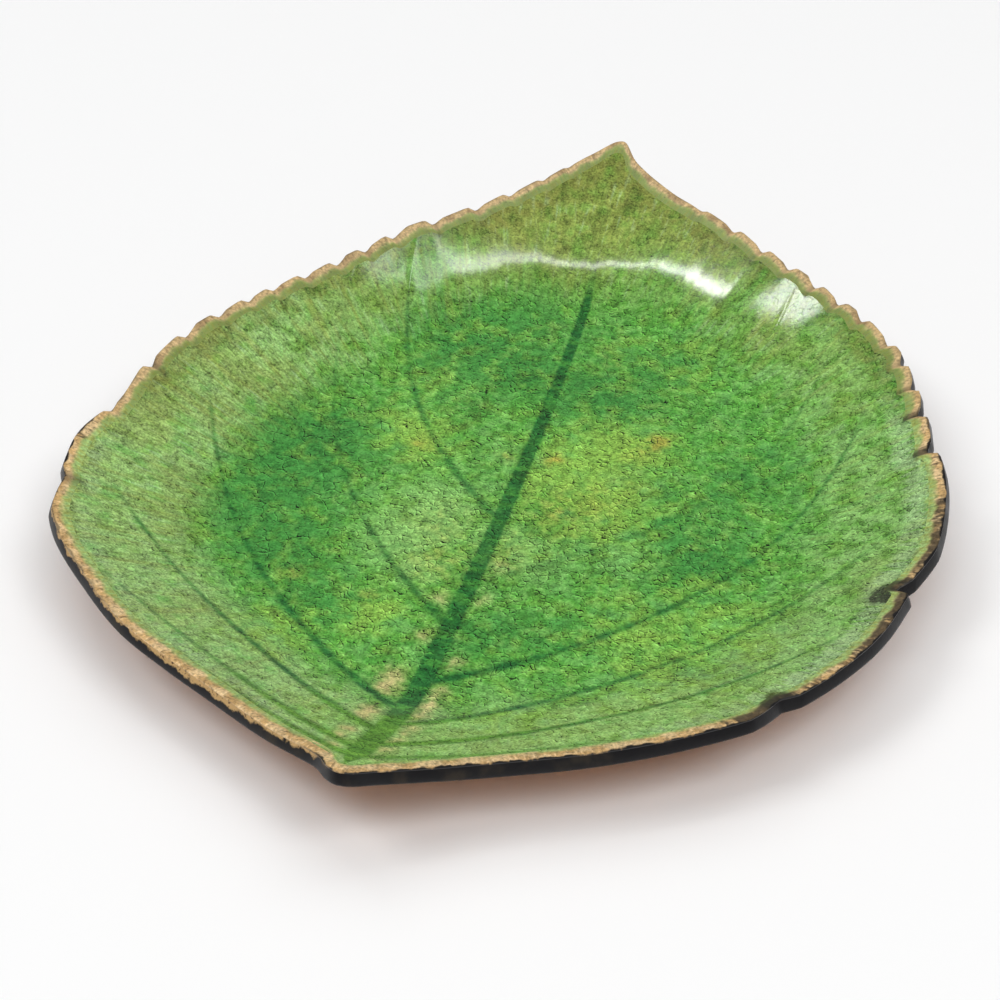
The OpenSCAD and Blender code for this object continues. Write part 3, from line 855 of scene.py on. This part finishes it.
    # Flakes and grit differ a little in depth of colour; cracks are dark, and the flakes' lips beside them
    # are lightened as a painted highlight
    tone = add(tree, "ShaderNodeSeparateColor", {0: flake})
    value = add(tree, "ShaderNodeMapRange", {0: tone, 3: 0.84, 4: 1.18})
    value = stirred(tree, value, noise, (("grit", 1.9), ("grain", 0.9), ("blotch", 0.7), ("mottle", 0.9)))
    for key, much in (("fine_painted_glint", 0.6), ("coarse_painted_glint", 0.55), ("fine", -0.75), ("coarse", -0.8)):
        value = add(tree, "ShaderNodeMath", {0: cracks[key], 1: much, 2: value}, operation="MULTIPLY_ADD")
    colour = add(tree, "ShaderNodeHueSaturation", {"Value": value, "Color": colour})
    tree.links.new(colour, shader.inputs["Base Color"])
    open_crack = add(tree, "ShaderNodeMath", {0: cracks["fine"], 1: cracks["coarse"]}, operation="MAXIMUM")
    rough = add(tree, "ShaderNodeMapRange", {0: open_crack, 3: 0.055, 4: 0.1})
    tree.links.new(rough, shader.inputs["Roughness"])
    # Relief: sunken cracks over the fine orange peel of the glaze
    relief = add(tree, "ShaderNodeMath", {0: noise["blotch"], 1: open_crack}, operation="SUBTRACT")
    bump = add(tree, "ShaderNodeBump", {"Strength": 0.03, "Distance": 0.04 * MM, "Height": relief})
    tree.links.new(bump, shader.inputs["Normal"])
    shader.inputs["IOR"].default_value = 1.55
    return material


def tan_band_glaze(name):
    """Thin iron glaze that broke to tan over the rim: satin, worn pale on top, olive on the inner side of
    the left and back rim, black where it gathered in the notches and over the torn outer edge."""
    colours = bpy.context.scene.leaf_plate_colours
    material, tree, shader = new_material(name)
    place = add(tree, "ShaderNodeTexCoord", out="Object")
    along = add(tree, "ShaderNodeAttribute", out="Vector", attribute_name="along")
    keys = ("notch", "across", "browned", "soot", "green_run", "black_run")
    mark, noise = readings(
        tree,
        keys,
        (
            ("brush", along, 0.6 * MM, 2),
            ("streak", along, 0.9 * MM, 3),
            ("patch", along, 4 * MM, 3),
            ("blotch", place, 3.5 * MM, 3),
            ("grain", place, 0.6 * MM, 2),
        ),
    )
    # The torn sides: the place across the band, stirred by three noises
    torn = stirred(tree, mark["across"], noise, (("blotch", 0.8), ("brush", 0.2), ("grain", 0.1)))
    inside = add(tree, "ShaderNodeMath", {0: torn, 1: mark["green_run"]}, operation="SUBTRACT")
    inner = cover(tree, (inside, 0.22, -0.22))
    lower = cover(tree, (torn, 0.84, 0.98))
    outer = cover(tree, (torn, 0.86, 1.02))
    browned = mark["browned"]
    gathered = {}
    for key, stir, much in (("soot", "streak", 2.2), ("notch", "grain", 0.6)):
        links = {0: noise[stir], 1: much, 2: mark[key]}
        gathered[key] = add(tree, "ShaderNodeMath", links, operation="MULTIPLY_ADD")
    sooty = cover(tree, (gathered["soot"], 1.3, 1.9))
    colour = layered(
        tree,
        colours.tan,
        (
            (colours.tan_light, (noise["blotch"], 0.42, 0.62), 0.7),
            (colours.tan_light, (noise["brush"], 0.52, 0.7), 0.6),
            (colours.tan_dark, (noise["grain"], 0.44, 0.28), 0.35),
            (colours.tan_dark, (noise["streak"], 0.52, 0.72), 0.25),
            (colours.worn_tan, browned, 0.85),
            (colours.tan_dark, (noise["patch"], 0.5, 0.64), browned, 0.5),
            (colours.wall, inner, 0.9),
            (colours.olive, inner, (noise["brush"], 0.42, 0.6), 0.8),
            (colours.band_olive, inner, browned, 0.6),
            (colours.run, inner, browned, (noise["grain"], 0.4, 0.6), 0.6),
            (colours.soot, outer, browned, 0.4),
            (colours.soot, sooty, (inside, -0.12, 0.12), 0.9),
            (colours.char, (gathered["notch"], 0.5, 1.0), 0.85),
            (colours.black, lower, mark["black_run"]),
        ),
    )
    value = stirred(tree, 1.0, noise, (("grain", 1.6), ("brush", 0.8), ("patch", 0.8)))
    colour = add(tree, "ShaderNodeHueSaturation", {"Value": value, "Color": colour})
    tree.links.new(colour, shader.inputs["Base Color"])
    shader.inputs["Roughness"].default_value = 0.3
    shader.inputs["IOR"].default_value = 1.5
    relief = add(tree, "ShaderNodeMath", {0: noise["brush"], 1: noise["grain"]}, operation="ADD")
    bump = add(tree, "ShaderNodeBump", {"Strength": 0.25, "Distance": 0.08 * MM, "Height": relief})
    tree.links.new(bump, shader.inputs["Normal"])
    return material


def black_edge_glaze(name):
    """Black iron slip under a satin glaze, brushed round the edge: soft grey sheen, slightly uneven, with
    torn runs of the tan glaze over its upper side."""
    colours = bpy.context.scene.leaf_plate_colours
    material, tree, shader = new_material(name)
    place = add(tree, "ShaderNodeTexCoord", out="Object")
    mark, noise = readings(
        tree,
        ("down", "tan_run"),
        (("cloud", place, 6 * MM, 4), ("blotch", place, 2.5 * MM, 3), ("grain", place, 0.6 * MM, 2)),
    )
    torn = stirred(tree, mark["down"], noise, (("blotch", 1.2), ("grain", 0.25)))
    above = add(tree, "ShaderNodeMath", {0: torn, 1: mark["tan_run"]}, operation="SUBTRACT")
    above = cover(tree, (above, 0.08, -0.12))
    any_run = cover(tree, (mark["tan_run"], 0.02, 0.12))
    colour = layered(
        tree,
        colours.black,
        (
            (colours.soot, (noise["cloud"], 0.52, 0.75), 0.5),
            (colours.tan, above, any_run, 0.95),
            (colours.tan_dark, above, any_run, (noise["grain"], 0.48, 0.3)),
        ),
    )
    tree.links.new(colour, shader.inputs["Base Color"])
    rough = add(tree, "ShaderNodeMapRange", {0: noise["cloud"], 1: 0.3, 2: 0.7, 3: 0.3, 4: 0.5})
    tree.links.new(rough, shader.inputs["Roughness"])
    shader.inputs["Specular IOR Level"].default_value = 0.22
    links = {0: noise["grain"], 1: 0.4, 2: noise["cloud"]}
    relief = add(tree, "ShaderNodeMath", links, operation="MULTIPLY_ADD")
    bump = add(tree, "ShaderNodeBump", {"Strength": 0.3, "Distance": 0.2 * MM, "Height": relief})
    tree.links.new(bump, shader.inputs["Normal"])
    return material


def red_stoneware(name):
    """Bare fired red clay: matt, slightly sandy, with paler grains of grog and darker fire clouds."""
    colours = bpy.context.scene.leaf_plate_colours
    material, tree, shader = new_material(name)
    place = add(tree, "ShaderNodeTexCoord", out="Object")
    _, noise = readings(tree, (), (("cloud", place, 18 * MM, 3), ("grog", place, 0.9 * MM, 3)))
    pale = add(tree, "ShaderNodeMapRange", {0: noise["grog"], 1: 0.52, 2: 0.75, 4: 0.8})
    dark = add(tree, "ShaderNodeMapRange", {0: noise["cloud"], 1: 0.5, 2: 0.8, 4: 0.4})
    colour = layered(tree, colours.clay, ((colours.clay_light, pale), (colours.tan_dark, dark)))
    tree.links.new(colour, shader.inputs["Base Color"])
    shader.inputs["Roughness"].default_value = 0.85
    shader.inputs["Specular IOR Level"].default_value = 0.3
    bump = add(tree, "ShaderNodeBump", {"Strength": 0.5, "Distance": 0.25 * MM, "Height": noise["grog"]})
    tree.links.new(bump, shader.inputs["Normal"])
    return material


def dish_tree():
    """Presses a flat sheet into the dish: lifts it by the mould's rule and gives it its own thickness."""
    tree = bpy.data.node_groups.new("dish_form", "GeometryNodeTree")
    tree.is_modifier = True
    for name, kind in (
        ("Geometry", "NodeSocketGeometry"),
        ("Floor height", "NodeSocketFloat"),
        ("Wall angle", "NodeSocketFloat"),
        ("Wall bend", "NodeSocketFloat"),
        ("Ripple height", "NodeSocketFloat"),
        ("Ripple size", "NodeSocketFloat"),
        ("Seed", "NodeSocketInt"),
        ("Material", "NodeSocketMaterial"),
    ):
        tree.interface.new_socket(name, in_out="INPUT", socket_type=kind)
    tree.interface.new_socket("Geometry", in_out="OUTPUT", socket_type="NodeSocketGeometry")
    given = tree.nodes.new("NodeGroupInput").outputs
    mark = {
        key: add(tree, "GeometryNodeInputNamedAttribute", {"Name": key}, data_type="FLOAT")
        for key in ("past_floor", "rim_gap", "base_drop", "top_drop")
    }
    # Height of the mould: tan(angle) times how far a hyperbola rises over its bend
    squares = []
    for value in (mark["past_floor"], given["Wall bend"]):
        squares.append(add(tree, "ShaderNodeMath", {0: value, 1: 2.0}, operation="POWER"))
    total = add(tree, "ShaderNodeMath", {0: squares[0], 1: squares[1]}, operation="ADD")
    root = add(tree, "ShaderNodeMath", {0: total}, operation="SQRT")
    rise = add(tree, "ShaderNodeMath", {0: root, 1: given["Wall bend"]}, operation="SUBTRACT")
    slope = add(tree, "ShaderNodeMath", {0: given["Wall angle"]}, operation="TANGENT")
    height = add(
        tree, "ShaderNodeMath", {0: rise, 1: slope, 2: given["Floor height"]}, operation="MULTIPLY_ADD"
    )
    base = add(tree, "ShaderNodeMath", {0: height, 1: mark["base_drop"]}, operation="SUBTRACT")
    lift = add(tree, "ShaderNodeCombineXYZ", {"Z": base})
    sheet = add(tree, "GeometryNodeSetPosition", {"Geometry": given["Geometry"], "Offset": lift})
    # Ripples of the hand pressed face, which die out at the rim
    spot = add(tree, "GeometryNodeInputPosition")
    flat = add(tree, "ShaderNodeVectorMath", {0: spot, 1: (1, 1, 0)}, operation="MULTIPLY")
    density = add(tree, "ShaderNodeMath", {0: 1.0, 1: given["Ripple size"]}, operation="DIVIDE")
    wave = add(
        tree,
        "ShaderNodeTexNoise",
        {"Vector": flat, "W": given["Seed"], "Scale": density, "Detail": 1.5},
        noise_dimensions="4D",
    )
    wave = add(tree, "ShaderNodeMath", {0: wave, 1: 0.5}, operation="SUBTRACT")
    calm = add(
        tree,
        "ShaderNodeMapRange",
        {0: mark["rim_gap"], 1: 0.0, 2: 5 * MM},
        interpolation_type="SMOOTHSTEP",
    )
    ripple = add(tree, "ShaderNodeMath", {0: given["Ripple height"], 1: calm}, operation="MULTIPLY")
    thick = add(tree, "ShaderNodeMath", {0: mark["base_drop"], 1: mark["top_drop"]}, operation="SUBTRACT")
    thick = add(tree, "ShaderNodeMath", {0: wave, 1: ripple, 2: thick}, operation="MULTIPLY_ADD")
    raise_by = add(tree, "ShaderNodeCombineXYZ", {"Z": thick})
    pulled = tree.nodes.new("GeometryNodeExtrudeMesh")
    pulled.mode = "FACES"
    pulled.inputs["Individual"].default_value = False
    pulled.inputs["Offset Scale"].default_value = 0.0
    tree.links.new(sheet, pulled.inputs["Mesh"])
    face = add(
        tree,
        "GeometryNodeSetPosition",
        {"Geometry": pulled.outputs["Mesh"], "Selection": pulled.outputs["Top"], "Offset": raise_by},
    )
    under = add(tree, "GeometryNodeFlipFaces", {"Mesh": sheet})
    joined = tree.nodes.new("GeometryNodeJoinGeometry")
    for part in (under, face):
        tree.links.new(part, joined.inputs[0])
    closed = add(tree, "GeometryNodeMergeByDistance", {"Geometry": joined.outputs[0], "Distance": 1e-6})
    smooth = add(tree, "GeometryNodeSetShadeSmooth", {"Geometry": closed, "Shade Smooth": True})
    fold = add(tree, "GeometryNodeInputMeshEdgeAngle")
    sharp = add(tree, "ShaderNodeMath", {0: fold, 1: math.radians(40)}, operation="GREATER_THAN")
    crisp = add(
        tree,
        "GeometryNodeSetShadeSmooth",
        {"Geometry": smooth, "Selection": sharp, "Shade Smooth": False},
        domain="EDGE",
    )
    real = add(tree, "GeometryNodeRealizeInstances", {"Geometry": crisp})
    done = add(tree, "GeometryNodeSetMaterial", {"Geometry": real, "Material": given["Material"]})
    tree.links.new(done, tree.nodes.new("NodeGroupOutput").inputs[0])
    return tree


def new_object(name, points, faces, values):
    """An object of a plain mesh, with a value for each point under each name."""
    mesh = bpy.data.meshes.new(name)
    mesh.from_pydata(points.tolist(), [], faces.tolist())
    for key, column in values.items():
        wide = column.ndim > 1
        layer = mesh.attributes.new(key, "FLOAT_VECTOR" if wide else "FLOAT", "POINT")
        layer.data.foreach_set("vector" if wide else "value", column.astype(np.float32).ravel())
    made = bpy.data.objects.new(name, mesh)
    bpy.context.scene.collection.objects.link(made)
    return made


def dress(piece, slot, *nodes):
    """Ties a finished piece to the frame."""
    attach(piece, BODY)
    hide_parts(*nodes)


def pressed_layer(name, plan, marks, cells, material, ripple):
    """A layer of the plate on some cells of the grid, pressed into the dish."""
    size = plan.size
    columns = plan.places.shape[1]
    row, column = np.nonzero(cells)
    first = row * columns + column
    faces = np.stack([first, first + 1, first + columns + 1, first + columns], -1)
    used, faces = np.unique(faces, return_inverse=True)
    faces = faces.reshape(-1, 4)
    flat = plan.places.reshape(-1, 2)[used]
    points = np.column_stack([flat, np.zeros(len(flat))])
    count = len(plan.rows) * columns
    values = {key: mark.reshape(count, -1)[used].squeeze() for key, mark in marks.items()}
    made = new_object(name, points, faces, values)
    tree = bpy.data.node_groups.get("dish_form") or dish_tree()
    modifier = made.modifiers.new("dish_form", "NODES")
    modifier.node_group = tree
    settings = {
        "Floor height": size.floor_height,
        "Wall angle": size.wall_angle,
        "Wall bend": size.wall_bend,
        "Ripple height": ripple,
        "Ripple size": size.ripple_size,
        "Seed": size.ripple_seed,
        "Material": material,
    }
    for item in tree.interface.items_tree:
        if item.in_out == "INPUT" and item.name in settings:
            modifier[item.identifier] = settings[item.name]
    graph = bpy.context.evaluated_depsgraph_get()
    mesh = bpy.data.meshes.new_from_object(
        made.evaluated_get(graph), preserve_all_data_layers=True, depsgraph=graph
    )
    made.modifiers.clear()
    sheet = made.data
    made.data = mesh
    bpy.data.meshes.remove(sheet)
    mesh.name = name
    return made


def drops(plan, marks):
    """How far the glaze's face, the grooved clay under it and the plate's underside lie below the mould."""
    size = plan.size
    places = plan.places
    face = size.vein_sink * marks["vein"]
    groove = np.zeros(places.shape[:-1])
    fade = np.clip((VEIN_END_SHARE - plan.column_share) / VEIN_FADE_SHARE, 0, 1)
    for side, sign in ((plan.left, -1), (plan.right, 1)):
        line = np.minimum(np.floor(plan.rows + 1e-9).astype(int), len(side.line_vein) - 2)
        in_vein = (side.line_vein[line] == side.line_vein[line + 1]) & (side.line_vein[line] > 0)
        across = np.abs(np.interp(plan.rows, side.line_number, side.line_place))
        depth = np.where(in_vein, 1 - across, 0)
        groove += depth[:, None] * (fade * (plan.column_side == sign))[None]
    m = np.interp(plan.rows, plan.right.knot, plan.right.knot_start)
    rib = np.clip(np.minimum(m, MIDRIB_END_SHARE - m) / RIB_FADE_SHARE, 0, 1)
    groove += rib[:, None] * (1 - np.abs(plan.midrib_across))[None]
    clay = size.glaze_thick + size.groove_depth * groove
    return face, clay, plan.thickness(places)


PLAN = {}


def shared_plan():
    """The plan and its marks, worked out once for all layers."""
    if not PLAN:
        plan = LeafPlan(bpy.context.scene.leaf_plate_sizes)
        marks = glaze_marks(plan)
        PLAN.update(plan=plan, marks=marks, drops=drops(plan, marks))
    return PLAN["plan"], PLAN["marks"], PLAN["drops"]


def ring_rows(plan):
    """Rim places all round: from the tip down the left margin and up the right one."""
    for side, rows in ((plan.left, plan.rows[:0:-1]), (plan.right, plan.rows[:-1])):
        yield side, rows


def margin_ring(name, sections, values, material):
    """A closed ring of one section after the other, with outward faces."""
    count, corners = sections.shape[:2]
    here = np.arange(count)[:, None] * corners
    after = np.roll(here, -1, axis=0)
    k = np.arange(corners)[None]
    beside = (k + 1) % corners
    faces = np.stack([here + k, after + k, after + beside, here + beside], -1)
    made = new_object(name, sections.reshape(-1, 3), faces.reshape(-1, 4), values)
    shape = bmesh.new()
    shape.from_mesh(made.data)
    bmesh.ops.recalc_face_normals(shape, faces=shape.faces)
    for face in shape.faces:
        face.smooth = True
    for edge in shape.edges:
        edge.smooth = edge.calc_face_angle() < math.radians(50)
    shape.to_mesh(made.data)
    shape.free()
    made.data.materials.append(material)
    return made


def ring_values(plan, across):
    """Marks for a ring whose points lie at these places across it: a way along the margin, laid on a round
    of the same length, and how deep in a notch, browned, sooty and run over each place is."""
    size = plan.size
    total = plan.left.length + plan.right.length
    ways = []
    marks = []
    for side, rows in ring_rows(plan):
        share = side.share(rows)
        ways.append((1 - share) * side.length if side.sign < 0 else plan.left.length + share * side.length)
        rim = side.edge_line(rows, 0.0) * (side.sign, 1)
        notch = np.clip(side.inset(rows) / size.tooth_depth - 0.45, 0, 1)
        green_run, tan_run = by_bearing(rim, RIM_RUNS)
        browned = rim_kinds(rim)[0]
        black_run = (1 - browned) * smoothstep(0.2, 0.05, tan_run)
        soot = pools(rim, SOOT_SPOTS)
        marks.append(np.stack([notch, browned, soot, green_run, black_run, tan_run], -1))
    corners = len(across)
    turn = np.repeat(np.concatenate(ways) / total * 2 * np.pi, corners)
    radius = total / (2 * np.pi)
    across = np.tile(across, len(turn) // corners)
    depth = across * size.band_width * ACROSS_SHARE
    along = np.stack([radius * np.cos(turn), radius * np.sin(turn), depth], -1)
    names = ("notch", "browned", "soot", "green_run", "black_run", "tan_run")
    marks = np.repeat(np.concatenate(marks), corners, axis=0).T
    return {"along": along, "across": across, **dict(zip(names, marks))}


class LEAFPLATE_OT_clay(bpy.types.Operator):
    """Presses the red clay slab with its vein grooves"""

    bl_idname = "leafplate.clay"
    bl_label = "Clay body"

    def execute(self, context):
        plan, marks, (_, clay, under) = shared_plan()
        values = {"past_floor": marks["past_floor"], "rim_gap": marks["rim_gap"]}
        values.update(base_drop=under, top_drop=clay)
        piece = pressed_layer(
            "clay_body_bare", plan, values, plan.kinds > -2, red_stoneware("bare_red_stoneware"), 0.0
        )
        dress(piece, "bare_clay", "clay_body")
        return {"FINISHED"}


class LEAFPLATE_OT_glaze(bpy.types.Operator):
    """Lays the green crackle glaze over the inside"""

    bl_idname = "leafplate.glaze"
    bl_label = "Green glaze"

    def execute(self, context):
        plan, marks, (face, clay, _) = shared_plan()
        values = {**marks, "base_drop": clay, "top_drop": face}
        piece = pressed_layer(
            "green_glaze_coat",
            plan,
            values,
            plan.kinds == 0,
            crackle_glaze("green_crackle_glaze"),
            plan.size.ripple_height,
        )
        dress(piece, "green_glaze", "green_glaze")
        return {"FINISHED"}


class LEAFPLATE_OT_veins(bpy.types.Operator):
    """Fills the grooves of the midrib and the side veins with dark glaze"""

    bl_idname = "leafplate.veins"
    bl_label = "Midrib and veins"

    def execute(self, context):
        plan, marks, (face, clay, _) = shared_plan()
        values = {**marks, "base_drop": clay, "top_drop": face}
        material = crackle_glaze("dark_vein_glaze")
        names = ["midrib_fill"]
        for side in ("left", "right"):
            names += [f"{side}_vein_{v + 1}" for v in range(VEIN_COUNT)]
        for kind, node in enumerate(names, 1):
            piece = pressed_layer(
                node + "_glaze", plan, values, plan.kinds == kind, material, plan.size.ripple_height
            )
            dress(piece, "vein_glaze", node)
        return {"FINISHED"}


class LEAFPLATE_OT_band(bpy.types.Operator):
    """Runs the tan band along the top of the rim"""

    bl_idname = "leafplate.band"
    bl_label = "Rim band"

    # Places across the band and how far its crowned top lies below the mould there, in millimetres
    crown = (
        (0.0, 0.0), (0.15, 0.0), (0.35, 0.02), (0.55, 0.06), (0.7, 0.12), (0.82, 0.2),
        (0.93, 0.34), (1.0, 0.5)
    )

    def execute(self, context):
        plan = shared_plan()[0]
        size = plan.size
        sections = []
        for side, rows in ring_rows(plan):
            inner = side.band_line(rows)
            outer = side.edge_line(rows, 0.0)
            clay = side.edge_line(rows, size.coat_thick)
            points = []
            for share, drop in self.crown:
                points.append((inner + (outer - inner) * share, drop * MM))
            points += [(outer, size.band_drop), (clay, size.glaze_thick), (inner, size.glaze_thick)]
            placed = []
            for flat, drop in points:
                flat = flat * (side.sign, 1)
                placed.append(np.column_stack([flat, plan.height(flat) - drop]))
            sections.append(np.stack(placed, 1))
        sections = np.concatenate(sections)
        values = ring_values(plan, [share for share, _ in self.crown] + [1.0, 1.0, 0.0])
        piece = margin_ring("rim_band_glaze", sections, values, tan_band_glaze("tan_rim_glaze"))
        dress(piece, "tan_band", "rim_band")
        return {"FINISHED"}


class LEAFPLATE_OT_edge(bpy.types.Operator):
    """Wraps the black coat round the outer edge and under the rim"""

    bl_idname = "leafplate.edge"
    bl_label = "Black edge"

    # Places down the outer edge, how far it swells, and places round its lower corner
    shares = (0.2, 0.4, 0.6, 0.78)
    swell = 0.08 * MM
    corner_share = 0.92
    round_shares = (0.3, 0.65)

    def execute(self, context):
        plan = shared_plan()[0]
        size = plan.size
        sections = []
        for side, rows in ring_rows(plan):
            flat = {
                "band": side.band_line(rows),
                "clay": side.edge_line(rows, size.coat_thick),
                "outside": side.edge_line(rows, 0.0),
                "clay_foot": side.edge_line(rows, size.coat_thick - size.edge_lean),
                "coat_foot": side.edge_line(rows, -size.edge_lean),
            }
            flat = {key: places * (side.sign, 1) for key, places in flat.items()}
            top = {key: plan.height(flat[key]) for key in ("band", "clay", "outside")}
            low = {key: top[key] - plan.thickness(flat[key]) for key in ("band", "clay")}
            lip = np.column_stack([flat["outside"], top["outside"] - size.band_drop])
            corner = np.column_stack([flat["coat_foot"], low["clay"]])
            below = np.column_stack([flat["clay_foot"], low["clay"] - size.coat_thick])
            behind = np.column_stack([flat["band"], low["band"] - size.coat_thick])
            inward = side.inward(side.share(rows)) * (side.sign, 1)
            outward = np.column_stack([-inward, np.zeros(len(rows))])
            ring = [np.column_stack([flat["clay"], top["clay"] - size.glaze_thick]), lip]
            for share in self.shares:
                out = self.swell * math.sin(math.pi * share)
                ring.append(lip + (corner - lip) * share + outward * out)
            ring.append(lip + (corner - lip) * self.corner_share)
            ring += [corner + (below - corner) * share for share in self.round_shares]
            ring += [below, behind, np.column_stack([flat["band"], low["band"]])]
            ring.append(np.column_stack([flat["clay_foot"], low["clay"]]))
            sections.append(np.stack(ring, 1))
        sections = np.concatenate(sections)
        down = [0, 0, *self.shares, self.corner_share, 1, 1, 1, 1, 1, 1]
        marks = ring_values(plan, down)
        values = {"down": marks["across"], "tan_run": marks["tan_run"]}
        piece = margin_ring("edge_coat_glaze", sections, values, black_edge_glaze("black_edge_glaze"))
        dress(piece, "black_edge", "edge_coat")
        return {"FINISHED"}


class LEAFPLATE_OT_stage(bpy.types.Operator):
    """Sets the pale floor, the soft light and the camera"""

    bl_idname = "leafplate.stage"
    bl_label = "Stage"

    camera_place = Vector((0.120997, -0.431779, 0.363240))
    camera_aim = Vector((-0.20853, 0.75992, -0.61566))
    # The lens in millimetres on its sensor and in pixels, and how many pixels the middle lies below the
    # aim
    sensor = 36
    lens = 102.85
    lens_pixels = 2857
    drop_pixels = 20
    floor_reach = 6.0
    room_strength = 0.19
    # Strip lights that hang flat under the ceiling in one arc, as the back wall mirrors them: each
    # one's start on a ceiling at unit height, its width there and its radiance up to the next
    ceiling = 2.5
    arc = (
        (0.365, 0.475, 0.024, 4), (0.322, 0.372, 0.026, 9), (0.19, 0.26, 0.02, 9),
        (0.085, 0.218, 0.014, 11),
        (-0.2, 0.207, 0.010, 15), (-0.37, 0.24, 0.012, 20), (-0.48, 0.298, 0.017, 24), (-0.6, 0.4, 0, 0),
        (-0.665, 0.45, 0.014, 16), (-0.715, 0.525, 0, 0),
    )
    # Softboxes over the camera, on both sides and above: place, sides, power in watts, whether gloss
    # mirrors it
    softboxes = (
        ("front_softbox", (0.3, -1.5, 2.25), (1.8, 1.5), 22.0, True),
        ("left_softbox", (-1.35, -0.75, 2.2), (1.0, 1.0), 17.0, True),
        ("right_softbox", (1.35, -0.75, 2.2), (1.0, 1.0), 17.0, True),
        ("top_softbox", (0.0, 0.9, 2.3), (3.2, 2.0), 18.0, False),
    )

    def hang(self, scene, name, place, turn, sides, power):
        """Adds a rectangular lamp."""
        lamp = bpy.data.lights.new(name, "AREA")
        lamp.shape = "RECTANGLE"
        lamp.size, lamp.size_y = sides
        lamp.energy = power
        box = bpy.data.objects.new(name, lamp)
        box.location = place
        box.rotation_euler = turn
        scene.collection.objects.link(box)
        return box

    def execute(self, context):
        scene = context.scene
        colours = scene.leaf_plate_colours
        mesh = bpy.data.meshes.new("floor")
        reach = self.floor_reach
        corners = [(-reach, -reach, 0), (reach, -reach, 0), (reach, reach, 0), (-reach, reach, 0)]
        mesh.from_pydata(corners, [], [(0, 1, 2, 3)])
        floor = bpy.data.objects.new("floor", mesh)
        scene.collection.objects.link(floor)
        material, tree, shader = new_material("white_paper_floor")
        shader.inputs["Base Color"].default_value = opaque(colours.backdrop)
        shader.inputs["Roughness"].default_value = 0.9
        shader.inputs["Specular IOR Level"].default_value = 0.0
        mesh.materials.append(material)
        for i, (start, end) in enumerate(zip(self.arc, self.arc[1:])):
            width, radiance = start[2:]
            if not width:
                continue
            start = Vector((*start[:2], 1)) * self.ceiling
            end = Vector((*end[:2], 1)) * self.ceiling
            way = end - start
            sides = (way.length, width * self.ceiling)
            power = math.pi * radiance * sides[0] * sides[1]
            turn = (0, 0, math.atan2(way.y, way.x))
            self.hang(scene, f"strip_{i}", (start + end) / 2, turn, sides, power)
        for name, place, sides, power, mirrored in self.softboxes:
            turn = (-Vector(place)).to_track_quat("-Z", "Y").to_euler()
            box = self.hang(scene, name, place, turn, sides, power)
            box.visible_glossy = mirrored
        world = bpy.data.worlds.new("soft_room")
        world.use_nodes = True
        room = world.node_tree.nodes["Background"]
        room.inputs["Color"].default_value = (1, 1, 1, 1)
        room.inputs["Strength"].default_value = self.room_strength
        scene.world = world
        view = bpy.data.cameras.new("camera")
        view.sensor_width = self.sensor
        view.lens = self.lens
        view.clip_start = 0.01
        camera = bpy.data.objects.new("camera", view)
        camera.location = self.camera_place
        right = self.camera_aim.cross(Vector((0, 0, 1))).normalized()
        up = right.cross(self.camera_aim)
        aim = self.camera_aim - up * (self.drop_pixels / self.lens_pixels)
        camera.rotation_euler = aim.to_track_quat("-Z", "Y").to_euler()
        scene.collection.objects.link(camera)
        scene.camera = camera
        scene.view_settings.view_transform = "Standard"
        return {"FINISHED"}


OPERATORS = (
    LEAFPLATE_OT_clay,
    LEAFPLATE_OT_glaze,
    LEAFPLATE_OT_veins,
    LEAFPLATE_OT_band,
    LEAFPLATE_OT_edge,
    LEAFPLATE_OT_stage,
)


class LEAFPLATE_PT_panel(bpy.types.Panel):
    """Sizes, colours and steps of the plate"""

    bl_idname = "LEAFPLATE_PT_panel"
    bl_label = "Leaf plate"
    bl_space_type = "VIEW_3D"
    bl_region_type = "UI"
    bl_category = "Leaf plate"

    def draw(self, context):
        for group in (context.scene.leaf_plate_sizes, context.scene.leaf_plate_colours):
            box = self.layout.box()
            for key in group.__annotations__:
                box.prop(group, key)
        for operator in OPERATORS:
            self.layout.operator(operator.bl_idname)


CLASSES = (LeafPlateSizes, LeafPlateColours, *OPERATORS, LEAFPLATE_PT_panel)


def register():
    for cls in CLASSES:
        bpy.utils.register_class(cls)
    bpy.types.Scene.leaf_plate_sizes = bpy.props.PointerProperty(type=LeafPlateSizes)
    bpy.types.Scene.leaf_plate_colours = bpy.props.PointerProperty(type=LeafPlateColours)


def unregister():
    del bpy.types.Scene.leaf_plate_colours
    del bpy.types.Scene.leaf_plate_sizes
    for cls in reversed(CLASSES):
        bpy.utils.unregister_class(cls)


def main():
    register()
    for step in ("clay", "glaze", "veins", "band", "edge", "stage"):
        getattr(bpy.ops.leafplate, step)()


if __name__ == "__main__":
    main()
